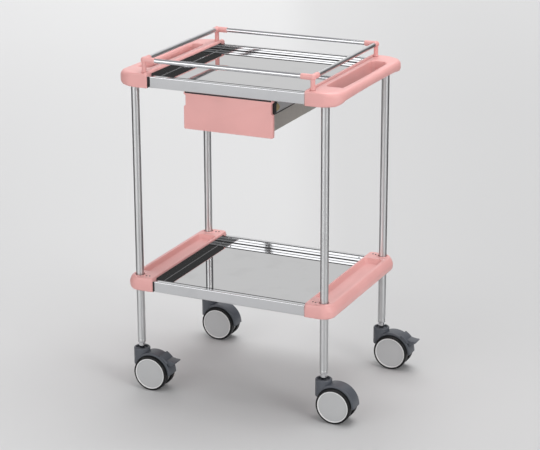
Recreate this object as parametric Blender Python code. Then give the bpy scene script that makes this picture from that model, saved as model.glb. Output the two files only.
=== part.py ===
"""Two-shelf spa trolley: steel posts, mirror-steel shelves, pink moulded ends, one drawer, twin-wheel casters.

Metres, +Z up, +X right along the long front, +Y to the back. The origin is on the floor, under the
middle of the trolley's box.
"""
import math

import bmesh
import bpy
from mathutils import Matrix, Vector

GAP = 0.0003                 # clearance between pieces that touch

# Posts
POST_X = 0.2775
POST_Y = 0.2105
POST_R = 0.0111
POST_WALL = 0.0015
POST_BOTTOM = 0.1338
POST_TOP = 0.8950

# Moulded ends
END_IN = 0.2290              # inner face of the moulded ends, from the middle
END_HALF_Y = 0.2360
HANDLE_OUT = 0.3260
HANDLE_TOP = 0.9080
HANDLE_BOTTOM = 0.8695
GRIP_TOP = 0.9065
GRIP_BOTTOM = 0.8795
SLOT_IN = 0.2565
SLOT_OUT = 0.2980
SLOT_HALF_Y = 0.1630
SLOT_CORNER_R = 0.0110
HANDLE_CORNER_R = 0.0460
HANDLE_EDGE_R = 0.0035       # round of the edges at the end blocks
GRIP_EDGE_R = 0.0125         # round of the edges along the grip
END_INNER_CORNER_R = 0.0030
TRAY_BOTTOM = 0.2930
TRAY_TOP = 0.3310
SOCKET_R = POST_R + GAP

# Shelves: channel rails with a plate between them
RAIL_FACE_Y = 0.2250
RAIL_TOPS = {"upper": 0.9005, "lower": 0.3215}
RAIL_HEIGHT = 0.0310
RAIL_WIDTH = 0.0160
RAIL_WALL = 0.0012
RAIL_EDGE_R = 0.0030
RAIL_LEDGE = 0.0080
RAIL_FOOT = 0.0120           # width of the lip along the rail's lower edge
SHELF_DEPTH = 0.0140         # from the rail's top down to the plate
PLATE_T = 0.0015
PLATE_RIM = 0.0015           # from the rail's top down to the plate's turned-up ends

# Guard rail
GUARD_X = 0.2450
GUARD_Y = 0.2170
GUARD_Z = 0.9420
GUARD_POST_R = 0.0062
GUARD_FOOT_R = 0.0076
GUARD_FOOT_T = 0.0020
GUARD_ARM_R = 0.0078
GUARD_HEAD_R = 0.0087
GUARD_ARM_X = 0.0330
GUARD_ARM_Y_FRONT = 0.0310
GUARD_ARM_Y_REAR = 0.0160
GUARD_ROD_R = 0.0062
GUARD_SOCKET = 0.0120        # how far a rod reaches into its fitting

# Drawer and its telescopic slides
DRAWER_FACE_Y = -0.2135
DRAWER_HALF_X = 0.1300
DRAWER_Z0 = 0.7650
DRAWER_Z1 = 0.8670
DRAWER_FRONT_T = 0.0120
DRAWER_NOTCH = 0.0050
DRAWER_NOTCH_Z0 = 0.8270
DRAWER_NOTCH_Z1 = 0.8600
DRAWER_NOTCH_SLOPE = 0.0030
DRAWER_CORNER_R = 0.0035
BOX_HALF_X = 0.1120
BOX_Z0 = 0.7710
BOX_Z1 = 0.8600
BOX_REAR_Y = 0.1700
BOX_WALL = 0.0012
SLIDE_Z = 0.8465
SLIDE_FRONT_Y = -0.2000
SLIDE_REAR_Y = 0.1680
SLIDE_WALL = 0.0012
SLIDE_SHORT = 0.0040         # the moving members end this far before the fixed one
HANGER_FLANGE = 0.0140
# each member's web and lips, from the middle of the trolley, and half its height
OUTER_MEMBER = (0.1252, 0.1160, 0.0200)
MIDDLE_MEMBER = (0.1234, 0.1170, 0.0182)
INNER_MEMBER = (0.1123, 0.1190, 0.0150)

# Casters
WHEEL_R = 0.0500
WHEEL_TRAIL = 0.0380
WHEEL_SEGMENTS = 28
TYRE_IN_Y = 0.0110
HUB_R = 0.0442
HUB_FACE_Y = 0.0300
HUB_BORE_Y = 0.0266          # closed end of the disc's bore
AXLE_R = 0.0040
AXLE_HALF = 0.0260
HOOD_R = 0.0580
HOOD_HALF_Y = 0.0240
WEB_HALF_Y = 0.0090
WEB_R = 0.0340
POCKET_R = 0.0515
CASTER_SOCKET_TOP = 0.1220
CASTER_SOCKET_R = 0.0230
CASTER_SOCKET_EDGE = 0.0025
CASTER_SOCKET_Z0 = 0.0680
STEM_R = 0.0070
STEM_Z0 = 0.0800
STEM_TOP = 0.1680
COLLAR_T = 0.0035
LEVER_T = 0.0050
LEVER_FROM = 34.0
LEVER_TO = 62.0
LEVER_TIP = 0.0745
PEDAL_HALF_Y = 0.0160
LEVERED = ("front_left", "rear_right")

CORNERS = {
    "front_left": (-1, -1),
    "front_right": (1, -1),
    "rear_left": (-1, 1),
    "rear_right": (1, 1),
}

# The box runs from the left handle to the lever of the rear right caster
BOX_LEFT = -HANDLE_OUT
BOX_RIGHT = POST_X + WHEEL_TRAIL + LEVER_TIP
ORIGIN_SHIFT = -(BOX_LEFT + BOX_RIGHT) / 2


def principled(name, colour, roughness, metallic):
    """Return a Principled BSDF material."""
    material = bpy.data.materials.new(name)
    material.use_nodes = True
    shader = material.node_tree.nodes["Principled BSDF"]
    shader.inputs["Base Color"].default_value = (*colour, 1.0)
    shader.inputs["Roughness"].default_value = roughness
    shader.inputs["Metallic"].default_value = metallic
    material.diffuse_color = (*colour, 1.0)
    return material


def mesh_from(name, vertices, faces):
    """Return a mesh of the given vertices and faces, with its faces pointing outwards."""
    mesh = bpy.data.meshes.new(name)
    mesh.from_pydata([tuple(v) for v in vertices], [], faces)
    bm = bmesh.new()
    bm.from_mesh(mesh)
    bmesh.ops.recalc_face_normals(bm, faces=bm.faces)
    bm.to_mesh(mesh)
    bm.free()
    return mesh


def extrusion(name, outline, axis, low, high):
    """Extrude a 2-D outline along an axis; the outline's two numbers are the other axes in order."""
    place = {
        "x": lambda a, b, t: (t, a, b),
        "y": lambda a, b, t: (a, t, b),
        "z": lambda a, b, t: (a, b, t),
    }[axis]
    count = len(outline)
    vertices = [place(a, b, t) for t in (low, high) for a, b in outline]
    faces = [tuple(range(count)), tuple(range(count, 2 * count))]
    for i in range(count):
        j = (i + 1) % count
        faces.append((i, j, count + j, count + i))
    return mesh_from(name, vertices, faces)


def lathe(name, profile, segments, axis="z"):
    """Turn a closed profile of (radius, height) points round an axis; radius 0 gives a pole."""
    place = {
        "x": lambda r, h, c, s: (h, r * c, r * s),
        "y": lambda r, h, c, s: (r * c, h, r * s),
        "z": lambda r, h, c, s: (r * c, r * s, h),
    }[axis]
    vertices = []
    rings = []
    for radius, height in profile:
        start = len(vertices)
        if radius == 0:
            vertices.append(place(0, height, 1, 0))
            rings.append([start] * segments)
            continue
        for k in range(segments):
            # a corner of the wheel's polygon points straight down
            angle = 2 * math.pi * k / segments - math.pi / 2
            vertices.append(place(radius, height, math.cos(angle), math.sin(angle)))
        rings.append(list(range(start, start + segments)))
    faces = []
    for a, b in zip(rings, rings[1:] + rings[:1]):
        for k in range(segments):
            j = (k + 1) % segments
            corners = [a[k], a[j], b[j], b[k]]
            face = [v for n, v in enumerate(corners) if v not in corners[:n]]
            if len(face) > 2:
                faces.append(face)
    return mesh_from(name, vertices, faces)


def arc(centre, radius, start, stop, steps):
    """Return steps + 1 points on an arc, angles in degrees."""
    points = []
    for k in range(steps + 1):
        angle = math.radians(start + (stop - start) * k / steps)
        points.append((centre[0] + radius * math.cos(angle), centre[1] + radius * math.sin(angle)))
    return points


def rounded_rectangle(x0, x1, half_y, inner_r, outer_r, arc_steps, edge_steps):
    """Return a rounded rectangle's points; both long edges and both ends get edge_steps parts."""
    corners = [
        arc((x1 - outer_r, half_y - outer_r), outer_r, 0, 90, arc_steps),
        arc((x0 + inner_r, half_y - inner_r), inner_r, 90, 180, arc_steps),
        arc((x0 + inner_r, inner_r - half_y), inner_r, 180, 270, arc_steps),
        arc((x1 - outer_r, outer_r - half_y), outer_r, 270, 360, arc_steps),
    ]
    points = []
    for here, after in zip(corners, corners[1:] + corners[:1]):
        points += here
        for k in range(1, edge_steps):
            t = k / edge_steps
            points.append((here[-1][0] + t * (after[0][0] - here[-1][0]),
                           here[-1][1] + t * (after[0][1] - here[-1][1])))
    return points


def loft(name, rings, closed):
    """Skin rings of equal length; closed joins the last ring to the first, else both ends are capped."""
    count = len(rings[0])
    vertices = [p for ring in rings for p in ring]
    faces = []
    pairs = len(rings) if closed else len(rings) - 1
    for r in range(pairs):
        a = r * count
        b = ((r + 1) % len(rings)) * count
        for k in range(count):
            j = (k + 1) % count
            faces.append((a + k, a + j, b + j, b + k))
    if not closed:
        faces.append(tuple(range(count)))
        faces.append(tuple(range((len(rings) - 1) * count, len(rings) * count)))
    return mesh_from(name, vertices, faces)


def combined(mesh, tool, operation):
    """Return a mesh after an exact Boolean with another mesh."""
    base = bpy.data.objects.new("base", mesh)
    cutter = bpy.data.objects.new("cutter", tool)
    for temporary in (base, cutter):
        bpy.context.scene.collection.objects.link(temporary)
    modifier = base.modifiers.new("boolean", "BOOLEAN")
    modifier.operation = operation
    modifier.solver = "EXACT"
    modifier.object = cutter
    graph = bpy.context.evaluated_depsgraph_get()
    result = bpy.data.meshes.new_from_object(base.evaluated_get(graph))
    result.name = mesh.name
    for temporary in (base, cutter):
        bpy.data.objects.remove(temporary, do_unlink=True)
    return result


def moved(mesh, x=0.0, y=0.0, z=0.0):
    """Shift a mesh in place and return it."""
    mesh.transform(Matrix.Translation((x, y, z)))
    return mesh


def mirrored(mesh, sign):
    """Return the mesh, or its mirror image in X when sign is negative."""
    if sign < 0:
        mesh.transform(Matrix.Scale(-1, 4, (1, 0, 0)))
        mesh.flip_normals()
    return mesh


def rod_mesh(name, radius, low, high, axis, segments=16):
    """Return a plain round bar."""
    return lathe(name, [(0, low), (radius, low), (radius, high), (0, high)], segments, axis)


def place(name, mesh, material, parent, location=(0, 0, 0), turn=0.0):
    """Make a named object from a mesh."""
    if not mesh.materials:
        mesh.materials.append(material)
    mesh.shade_smooth()
    mesh.set_sharp_from_angle(angle=math.radians(35))
    item = bpy.data.objects.new(name, mesh)
    bpy.context.scene.collection.objects.link(item)
    item.parent = parent
    item.location = location
    item.rotation_euler = (0, 0, turn)
    return item


def joint_empty(name, parent, location):
    """Make an empty on a joint's axis."""
    empty = bpy.data.objects.new(name, None)
    bpy.context.scene.collection.objects.link(empty)
    empty.parent = parent
    empty.location = location
    return empty


def smooth_step(t):
    """Ease a number from 0 to 1."""
    t = min(1.0, max(0.0, t))
    return t * t * (3 - 2 * t)


# ---------------------------------------------------------------- frame


def make_posts(cart, steel):
    """Four tubes from the casters up into the handles."""
    inner = POST_R - POST_WALL
    profile = [(POST_R, POST_BOTTOM), (POST_R, POST_TOP), (inner, POST_TOP), (inner, POST_BOTTOM)]
    mesh = lathe("post", profile, 24)
    for corner, (sx, sy) in CORNERS.items():
        place("post_" + corner, mesh, steel, cart, (sx * POST_X, sy * POST_Y, 0))


def handle_section(inner, outer, grip):
    """Return one section of the handle, from the slot's wall to the outside."""
    bottom = HANDLE_BOTTOM + grip * (GRIP_BOTTOM - HANDLE_BOTTOM)
    top = HANDLE_TOP + grip * (GRIP_TOP - HANDLE_TOP)
    radius = HANDLE_EDGE_R + grip * (GRIP_EDGE_R - HANDLE_EDGE_R)
    across = Vector(outer) - Vector(inner)
    width = across.length
    across.normalize()
    flat = []
    flat += arc((width - radius, bottom + radius), radius, 270, 360, 2)
    flat += arc((width - radius, top - radius), radius, 0, 90, 2)
    flat += arc((radius, top - radius), radius, 90, 180, 2)
    flat += arc((radius, bottom + radius), radius, 180, 270, 2)
    return [(inner[0] + across.x * s, inner[1] + across.y * s, z) for s, z in flat]


def handle_mesh(sign):
    """A moulded end with a long finger slot, a round grip outside it and two post sockets."""
    steps = {"arc_steps": 4, "edge_steps": 2}
    slot = rounded_rectangle(SLOT_IN, SLOT_OUT, SLOT_HALF_Y, SLOT_CORNER_R, SLOT_CORNER_R, **steps)
    body = rounded_rectangle(END_IN, HANDLE_OUT, END_HALF_Y, END_INNER_CORNER_R, HANDLE_CORNER_R, **steps)
    rings = []
    for inner, outer in zip(slot, body):
        # the grip's round section fades into the end blocks
        outside = smooth_step((outer[0] - SLOT_OUT + 0.010) / 0.030)
        along = smooth_step((END_HALF_Y - abs(outer[1])) / 0.050)
        rings.append(handle_section(inner, outer, outside * along))
    mesh = loft("upper_handle", rings, closed=True)
    for sy in (-1, 1):
        socket = rod_mesh("socket", SOCKET_R, HANDLE_BOTTOM - 0.01, POST_TOP + GAP, "z", 24)
        mesh = combined(mesh, moved(socket, POST_X, sy * POST_Y), "DIFFERENCE")
    return mirrored(mesh, sign)


def tray_mesh(sign):
    """A moulded lower end: a bulged rim round a long shallow recess, with a hole for each post."""
    stations = [
        # inner x, outer x, half length, inner radius, outer radius, z
        (END_IN, 0.3045, 0.2345, 0.003, 0.032, TRAY_BOTTOM),
        (END_IN, 0.3088, 0.2362, 0.004, 0.034, 0.2985),
        (END_IN, 0.3100, 0.2365, 0.004, 0.034, 0.3120),
        (END_IN, 0.3060, 0.2350, 0.004, 0.033, 0.3250),
        (0.2305, 0.2990, 0.2330, 0.004, 0.030, TRAY_TOP),
        (0.2350, 0.2915, 0.1780, 0.012, 0.014, TRAY_TOP),
        (0.2440, 0.2855, 0.1700, 0.010, 0.012, 0.3195),
        (0.2475, 0.2815, 0.1660, 0.008, 0.010, 0.3175),
    ]
    rings = []
    for x0, x1, half_y, inner_r, outer_r, z in stations:
        outline = rounded_rectangle(x0, x1, half_y, inner_r, outer_r, 4, 2)
        rings.append([(x, y, z) for x, y in outline])
    mesh = loft("lower_tray", rings, closed=False)
    for sy in (-1, 1):
        hole = rod_mesh("hole", SOCKET_R, TRAY_BOTTOM - 0.01, TRAY_TOP + 0.01, "z", 24)
        mesh = combined(mesh, moved(hole, POST_X, sy * POST_Y), "DIFFERENCE")
    return mirrored(mesh, sign)


def make_ends(cart, pink):
    """The four moulded ends."""
    for side, sign in (("left", -1), ("right", 1)):
        place("upper_handle_" + side, handle_mesh(sign), pink, cart)
        place("lower_tray_" + side, tray_mesh(sign), pink, cart)


# ---------------------------------------------------------------- shelves


def rail_outline(face_y, top):
    """Section of a front or rear rail: outer wall, top, inner wall and the ledge under the plate."""
    inward = -1 if face_y > 0 else 1
    wall = RAIL_WALL
    ledge_z = -SHELF_DEPTH - PLATE_T - GAP
    section = [(RAIL_EDGE_R - RAIL_EDGE_R * math.sin(math.radians(a)),
                -RAIL_EDGE_R + RAIL_EDGE_R * math.cos(math.radians(a))) for a in (0, 30, 60, 90)]
    section += [
        (0, -RAIL_HEIGHT),
        (RAIL_FOOT, -RAIL_HEIGHT),
        (RAIL_FOOT, wall - RAIL_HEIGHT),
        (wall, wall - RAIL_HEIGHT),
        (wall, -RAIL_EDGE_R),
        (RAIL_EDGE_R, -wall),
        (RAIL_WIDTH - wall, -wall),
        (RAIL_WIDTH - wall, ledge_z - wall),
        (RAIL_WIDTH + RAIL_LEDGE, ledge_z - wall),
        (RAIL_WIDTH + RAIL_LEDGE, ledge_z),
        (RAIL_WIDTH, ledge_z),
        (RAIL_WIDTH, 0),
    ]
    return [(face_y + inward * d, top + h) for d, h in section]


def shelf_outline(top):
    """Section of a shelf plate along X: a floor with its two ends turned up."""
    end = END_IN - GAP
    floor = top - SHELF_DEPTH
    rim = top - PLATE_RIM
    return [
        (-end, floor - PLATE_T), (end, floor - PLATE_T), (end, rim), (end - PLATE_T, rim),
        (end - PLATE_T, floor), (PLATE_T - end, floor), (PLATE_T - end, rim), (-end, rim),
    ]


def make_shelves(cart, steel, mirror_steel):
    """Two shelves, each a mirror plate between a front and a rear rail."""
    end = END_IN - GAP
    half_y = RAIL_FACE_Y - RAIL_WIDTH - GAP
    for level, top in RAIL_TOPS.items():
        for side, face_y in (("front", -RAIL_FACE_Y), ("rear", RAIL_FACE_Y)):
            mesh = extrusion("rail", rail_outline(face_y, top), "x", -end, end)
            place(f"{level}_rail_{side}", mesh, steel, cart)
        mesh = extrusion("shelf", shelf_outline(top), "y", -half_y, half_y)
        place(level + "_shelf_plate", mesh, mirror_steel, cart)


# ---------------------------------------------------------------- guard rail


def fitting_mesh(sx, arm_y):
    """A corner fitting: a short post with a flared foot and two arms that hold the rods."""
    foot = HANDLE_TOP + GAP
    post = [(0, foot), (GUARD_FOOT_R, foot), (GUARD_FOOT_R, foot + GUARD_FOOT_T),
            (GUARD_POST_R, foot + 2 * GUARD_FOOT_T), (GUARD_POST_R, GUARD_Z + 0.001), (0, GUARD_Z + 0.001)]
    mesh = lathe("fitting", post, 14)
    head = [(0, -GUARD_HEAD_R)]
    head += arc((0, 0), GUARD_HEAD_R, -60, 60, 4)
    head += [(0, GUARD_HEAD_R)]
    mesh = combined(mesh, moved(lathe("head", head, 16), 0, 0, GUARD_Z), "UNION")
    for axis, reach in (("x", GUARD_ARM_X), ("y", arm_y)):
        arm = moved(rod_mesh("arm", GUARD_ARM_R, 0, reach, axis, 14), 0, 0, GUARD_Z)
        mesh = combined(mesh, arm, "UNION")
    for axis, reach in (("x", GUARD_ARM_X), ("y", arm_y)):
        start = reach - GUARD_SOCKET - GAP
        bore = moved(rod_mesh("bore", GUARD_ROD_R + GAP, start, reach + 0.01, axis, 16), 0, 0, GUARD_Z)
        mesh = combined(mesh, bore, "DIFFERENCE")
    return mirrored(mesh, -sx)


def make_guard(cart, pink, steel):
    """Four corner fittings on the handles and the four rods between them."""
    for corner, (sx, sy) in CORNERS.items():
        arm_y = GUARD_ARM_Y_FRONT if sy < 0 else GUARD_ARM_Y_REAR
        mesh = fitting_mesh(sx, arm_y)
        if sy > 0:
            mesh.transform(Matrix.Scale(-1, 4, (0, 1, 0)))
            mesh.flip_normals()
        place("guard_fitting_" + corner, mesh, pink, cart, (sx * GUARD_X, sy * GUARD_Y, 0))
    reach = GUARD_X - GUARD_ARM_X + GUARD_SOCKET
    for side, sy in (("front", -1), ("rear", 1)):
        mesh = rod_mesh("guard_rod", GUARD_ROD_R, -reach, reach, "x")
        place("guard_rod_" + side, mesh, steel, cart, (0, sy * GUARD_Y, GUARD_Z))
    low = -GUARD_Y + GUARD_ARM_Y_FRONT - GUARD_SOCKET
    high = GUARD_Y - GUARD_ARM_Y_REAR + GUARD_SOCKET
    for side, sx in (("left", -1), ("right", 1)):
        mesh = rod_mesh("guard_rod", GUARD_ROD_R, low, high, "y")
        place("guard_rod_" + side, mesh, steel, cart, (sx * GUARD_X, 0, GUARD_Z))


# ---------------------------------------------------------------- drawer


def drawer_front_outline():
    """Front panel with round corners and a notch on each side for the slide."""
    r = DRAWER_CORNER_R
    right = arc((DRAWER_HALF_X - r, DRAWER_Z0 + r), r, 270, 360, 3)
    inner = DRAWER_HALF_X - DRAWER_NOTCH
    slope = DRAWER_NOTCH_SLOPE
    right += [(DRAWER_HALF_X, DRAWER_NOTCH_Z0), (inner, DRAWER_NOTCH_Z0 + slope),
              (inner, DRAWER_NOTCH_Z1 - slope), (DRAWER_HALF_X, DRAWER_NOTCH_Z1)]
    right += arc((DRAWER_HALF_X - r, DRAWER_Z1 - r), r, 0, 90, 3)
    left = [(-x, z) for x, z in reversed(right)]
    return right + left


def drawer_box_mesh():
    """An open-topped sheet box."""
    front = DRAWER_FACE_Y + DRAWER_FRONT_T + GAP
    outline = [(-BOX_HALF_X, BOX_Z0), (BOX_HALF_X, BOX_Z0), (BOX_HALF_X, BOX_Z1), (-BOX_HALF_X, BOX_Z1)]
    mesh = extrusion("drawer_box", outline, "y", front, BOX_REAR_Y)
    inner_x = BOX_HALF_X - BOX_WALL
    hollow = [(-inner_x, BOX_Z0 + BOX_WALL), (inner_x, BOX_Z0 + BOX_WALL), (inner_x, BOX_Z1 + 0.01),
              (-inner_x, BOX_Z1 + 0.01)]
    cavity = extrusion("cavity", hollow, "y", front + BOX_WALL, BOX_REAR_Y - BOX_WALL)
    return combined(mesh, cavity, "DIFFERENCE")


def channel_outline(member):
    """Section of a slide member: a web with two lips."""
    web_x, open_x, half_height = member
    t = SLIDE_WALL if open_x > web_x else -SLIDE_WALL
    low = SLIDE_Z - half_height
    high = SLIDE_Z + half_height
    wall = SLIDE_WALL
    return [(web_x, low), (open_x, low), (open_x, low + wall), (web_x + t, low + wall),
            (web_x + t, high - wall), (open_x, high - wall), (open_x, high), (web_x, high)]


def outer_member_outline():
    """The fixed member with its hanger, which runs up to a flange under the shelf plate."""
    web, lip, half_height = OUTER_MEMBER
    hang = RAIL_TOPS["upper"] - SHELF_DEPTH - PLATE_T - GAP
    flange = web + HANGER_FLANGE
    wall = SLIDE_WALL
    low = SLIDE_Z - half_height
    high = SLIDE_Z + half_height
    return [(web, low), (lip, low), (lip, low + wall), (web - wall, low + wall),
            (web - wall, high - wall), (lip, high - wall), (lip, high), (web - wall, high),
            (web - wall, hang), (flange, hang), (flange, hang - wall), (web, hang - wall)]


def slide_mesh(name, outline, sign, front, rear):
    """Extrude a slide member along the drawer's travel, on the right or mirrored to the left."""
    return mirrored(extrusion(name, outline, "y", front, rear), sign)


def make_drawer(cart, pink, grey_steel, zinc):
    """The drawer with its three-member slides: fixed, middle and inner."""
    drawer = joint_empty("drawer_axis", cart, (0, 0, 0))
    middle = joint_empty("slide_middle_axis", cart, (0, 0, 0))
    front = extrusion("drawer_front", drawer_front_outline(), "y", DRAWER_FACE_Y,
                      DRAWER_FACE_Y + DRAWER_FRONT_T)
    place("drawer_front", front, pink, drawer)
    place("drawer_box", drawer_box_mesh(), grey_steel, drawer)
    back_of_front = DRAWER_FACE_Y + DRAWER_FRONT_T + GAP
    moving_end = SLIDE_REAR_Y - SLIDE_SHORT
    members = [
        ("slide_outer_", outer_member_outline(), SLIDE_FRONT_Y, SLIDE_REAR_Y, cart),
        ("slide_middle_", channel_outline(MIDDLE_MEMBER), back_of_front, moving_end, middle),
        ("slide_inner_", channel_outline(INNER_MEMBER), back_of_front, moving_end, drawer),
    ]
    for side, sign in (("left", -1), ("right", 1)):
        for name, outline, y0, y1, parent in members:
            place(name + side, slide_mesh(name, outline, sign, y0, y1), zinc, parent)


# ---------------------------------------------------------------- casters


def stem_mesh():
    """Caster stem: a pin in the socket, a collar under the post and a plug inside it."""
    plug = POST_R - POST_WALL - GAP
    profile = [(0, STEM_Z0), (STEM_R, STEM_Z0), (STEM_R, POST_BOTTOM - COLLAR_T),
               (POST_R, POST_BOTTOM - COLLAR_T), (POST_R, POST_BOTTOM - GAP), (plug, POST_BOTTOM - GAP),
               (plug, STEM_TOP), (0, STEM_TOP)]
    return lathe("caster_stem", profile, 16)


def housing_mesh():
    """Swivel housing: socket on the swivel axis, hood over both wheels, web between them."""
    centre = (WHEEL_TRAIL, WHEEL_R)
    outline = arc(centre, HOOD_R, 0, 150, 12)
    outline += arc(centre, WEB_R, 200, 345, 5)
    mesh = extrusion("caster_housing", outline, "y", -HOOD_HALF_Y, HOOD_HALF_Y)
    edge = CASTER_SOCKET_EDGE
    top = CASTER_SOCKET_TOP
    socket = [(0, CASTER_SOCKET_Z0), (CASTER_SOCKET_R, CASTER_SOCKET_Z0),
              (CASTER_SOCKET_R, top - edge), (CASTER_SOCKET_R - edge, top), (0, top)]
    mesh = combined(mesh, lathe("socket", socket, 24), "UNION")
    past = 2 * HOOD_HALF_Y
    for low, high in ((-past, -WEB_HALF_Y), (WEB_HALF_Y, past)):
        pocket = moved(rod_mesh("pocket", POCKET_R, low, high, "y", 32), WHEEL_TRAIL, 0, WHEEL_R)
        mesh = combined(mesh, pocket, "DIFFERENCE")
    bore = rod_mesh("bore", STEM_R + GAP, STEM_Z0 - GAP, top + 0.01, "z", 16)
    mesh = combined(mesh, bore, "DIFFERENCE")
    axle_bore = moved(rod_mesh("bore", AXLE_R + GAP, -past, past, "y", 12), WHEEL_TRAIL, 0, WHEEL_R)
    return combined(mesh, axle_bore, "DIFFERENCE")


def tyre_mesh():
    """Rubber tread of one wheel, on the +Y side of the web."""
    seat = HUB_R + GAP
    profile = [(seat, TYRE_IN_Y), (0.0488, TYRE_IN_Y), (WHEEL_R, TYRE_IN_Y + 0.0025),
               (WHEEL_R, 0.0255), (0.0483, 0.0285), (seat, 0.0292)]
    return lathe("tyre", profile, WHEEL_SEGMENTS, "y")


def hub_mesh():
    """Wheel disc with a blind bore for the axle and a raised rim on its face."""
    bore = AXLE_R + GAP
    profile = [(0, HUB_BORE_Y), (bore, HUB_BORE_Y), (bore, TYRE_IN_Y), (HUB_R, TYRE_IN_Y),
               (HUB_R, HUB_FACE_Y - 0.0006), (0.0425, HUB_FACE_Y + 0.0004), (0.0405, HUB_FACE_Y - 0.0006),
               (0, HUB_FACE_Y)]
    return lathe("hub", profile, WHEEL_SEGMENTS, "y")


def lever_mesh():
    """Brake lever: a flap that hugs the hood, with a toe pedal."""
    inner_r = HOOD_R + 2 * GAP
    flap = arc((0, 0), inner_r + LEVER_T, LEVER_FROM, LEVER_TO, 4)
    flap += arc((0, 0), inner_r, LEVER_TO, LEVER_FROM, 4)
    mesh = extrusion("brake_lever", flap, "y", 0.0005 - HOOD_HALF_Y, HOOD_HALF_Y - 0.0005)
    pedal = [(0.0532, 0.0268), (0.0600, 0.0275), (LEVER_TIP, 0.0375), (LEVER_TIP - 0.0005, 0.0405),
             (0.0490, 0.0428), (0.0432, 0.0416)]
    toe = extrusion("pedal", pedal, "y", -PEDAL_HALF_Y, PEDAL_HALF_Y)
    return combined(mesh, toe, "UNION")


def make_casters(cart, housing_paint, rubber, disc_grey, steel):
    """Four twin-wheel swivel casters; two of them carry a brake lever."""
    stem = stem_mesh()
    housing = housing_mesh()
    tyre = tyre_mesh()
    hub = hub_mesh()
    lever = lever_mesh()
    axle = rod_mesh("caster_axle", AXLE_R, -AXLE_HALF, AXLE_HALF, "y", 12)
    for corner, (sx, sy) in CORNERS.items():
        at = (sx * POST_X, sy * POST_Y, 0)
        place("caster_stem_" + corner, stem, steel, cart, at)
        swivel = joint_empty("swivel_" + corner, cart, at)
        place("caster_housing_" + corner, housing, housing_paint, swivel)
        hinge = joint_empty("axle_line_" + corner, swivel, (WHEEL_TRAIL, 0, WHEEL_R))
        place("caster_axle_" + corner, axle, steel, hinge)
        for side, turn in (("front", math.pi), ("rear", 0.0)):
            place(f"tyre_{corner}_{side}", tyre, rubber, hinge, turn=turn)
            place(f"hub_{corner}_{side}", hub, disc_grey, hinge, turn=turn)
        if corner in LEVERED:
            place("brake_lever_" + corner, lever, housing_paint, hinge)


def main():
    """Build the trolley."""
    for item in list(bpy.data.objects):
        bpy.data.objects.remove(item, do_unlink=True)
    cart = joint_empty("cart", None, (ORIGIN_SHIFT, 0, 0))
    pink = principled("pink_moulding", (0.760, 0.405, 0.385), 0.45, 0.0)
    steel = principled("polished_steel", (0.700, 0.705, 0.715), 0.18, 1.0)
    mirror_steel = principled("mirror_steel", (0.780, 0.780, 0.785), 0.04, 1.0)
    grey_steel = principled("drawer_steel", (0.420, 0.410, 0.400), 0.35, 1.0)
    zinc = principled("zinc_slide", (0.480, 0.480, 0.470), 0.35, 1.0)
    housing_paint = principled("dark_housing", (0.060, 0.066, 0.078), 0.45, 0.0)
    rubber = principled("black_tread", (0.020, 0.021, 0.024), 0.60, 0.0)
    disc_grey = principled("grey_disc", (0.410, 0.410, 0.410), 0.50, 0.0)
    make_posts(cart, steel)
    make_ends(cart, pink)
    make_shelves(cart, steel, mirror_steel)
    make_guard(cart, pink, steel)
    make_drawer(cart, pink, grey_steel, zinc)
    make_casters(cart, housing_paint, rubber, disc_grey, steel)


main()
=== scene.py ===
"""Looks of a tiered spa trolley: moulded ends, mirror-steel shelves, guard rail, drawer and casters."""

import logging
import math
from dataclasses import dataclass, field
from enum import Enum

import bmesh
import bpy
from mathutils import Matrix, Vector


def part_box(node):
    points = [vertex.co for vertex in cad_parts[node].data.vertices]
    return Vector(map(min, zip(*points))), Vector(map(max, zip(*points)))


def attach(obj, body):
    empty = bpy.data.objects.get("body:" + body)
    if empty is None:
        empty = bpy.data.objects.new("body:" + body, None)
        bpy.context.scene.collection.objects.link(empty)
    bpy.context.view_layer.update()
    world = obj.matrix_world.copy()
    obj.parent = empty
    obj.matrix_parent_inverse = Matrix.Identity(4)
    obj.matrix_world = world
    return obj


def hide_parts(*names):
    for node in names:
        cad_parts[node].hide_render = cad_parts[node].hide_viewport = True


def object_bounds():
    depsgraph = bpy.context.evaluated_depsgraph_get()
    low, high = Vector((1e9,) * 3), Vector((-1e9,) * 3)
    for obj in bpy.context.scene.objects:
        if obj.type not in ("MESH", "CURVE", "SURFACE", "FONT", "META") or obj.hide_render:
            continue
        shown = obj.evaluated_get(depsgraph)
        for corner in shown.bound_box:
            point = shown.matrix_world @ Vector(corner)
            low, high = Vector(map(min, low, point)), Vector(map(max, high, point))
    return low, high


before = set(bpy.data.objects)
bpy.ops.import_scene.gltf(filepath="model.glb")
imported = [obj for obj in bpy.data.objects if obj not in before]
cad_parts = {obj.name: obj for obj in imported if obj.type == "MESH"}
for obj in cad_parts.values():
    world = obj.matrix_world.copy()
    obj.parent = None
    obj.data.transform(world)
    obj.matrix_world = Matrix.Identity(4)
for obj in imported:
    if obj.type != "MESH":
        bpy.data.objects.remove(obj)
CAD_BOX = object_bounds()
LOG = logging.getLogger("trolley")

Colour = tuple[float, float, float]
Place = tuple[float, float, float]
Point = tuple[float, float]
Ring = list[Place]

STUDIO_YAW = 0.4363


class Corner(Enum):
    """The four corners of the trolley, as the signs of X and Y."""

    FRONT_LEFT = (-1, -1)
    FRONT_RIGHT = (1, -1)
    REAR_LEFT = (-1, 1)
    REAR_RIGHT = (1, 1)

    @property
    def label(self) -> str:
        """Return the corner's name as the nodes use it."""
        return self.name.lower()


class Side(Enum):
    """The two ends of the trolley, as the sign of X."""

    LEFT = -1
    RIGHT = 1

    @property
    def label(self) -> str:
        """Return the side's name as the nodes use it."""
        return self.name.lower()


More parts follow.
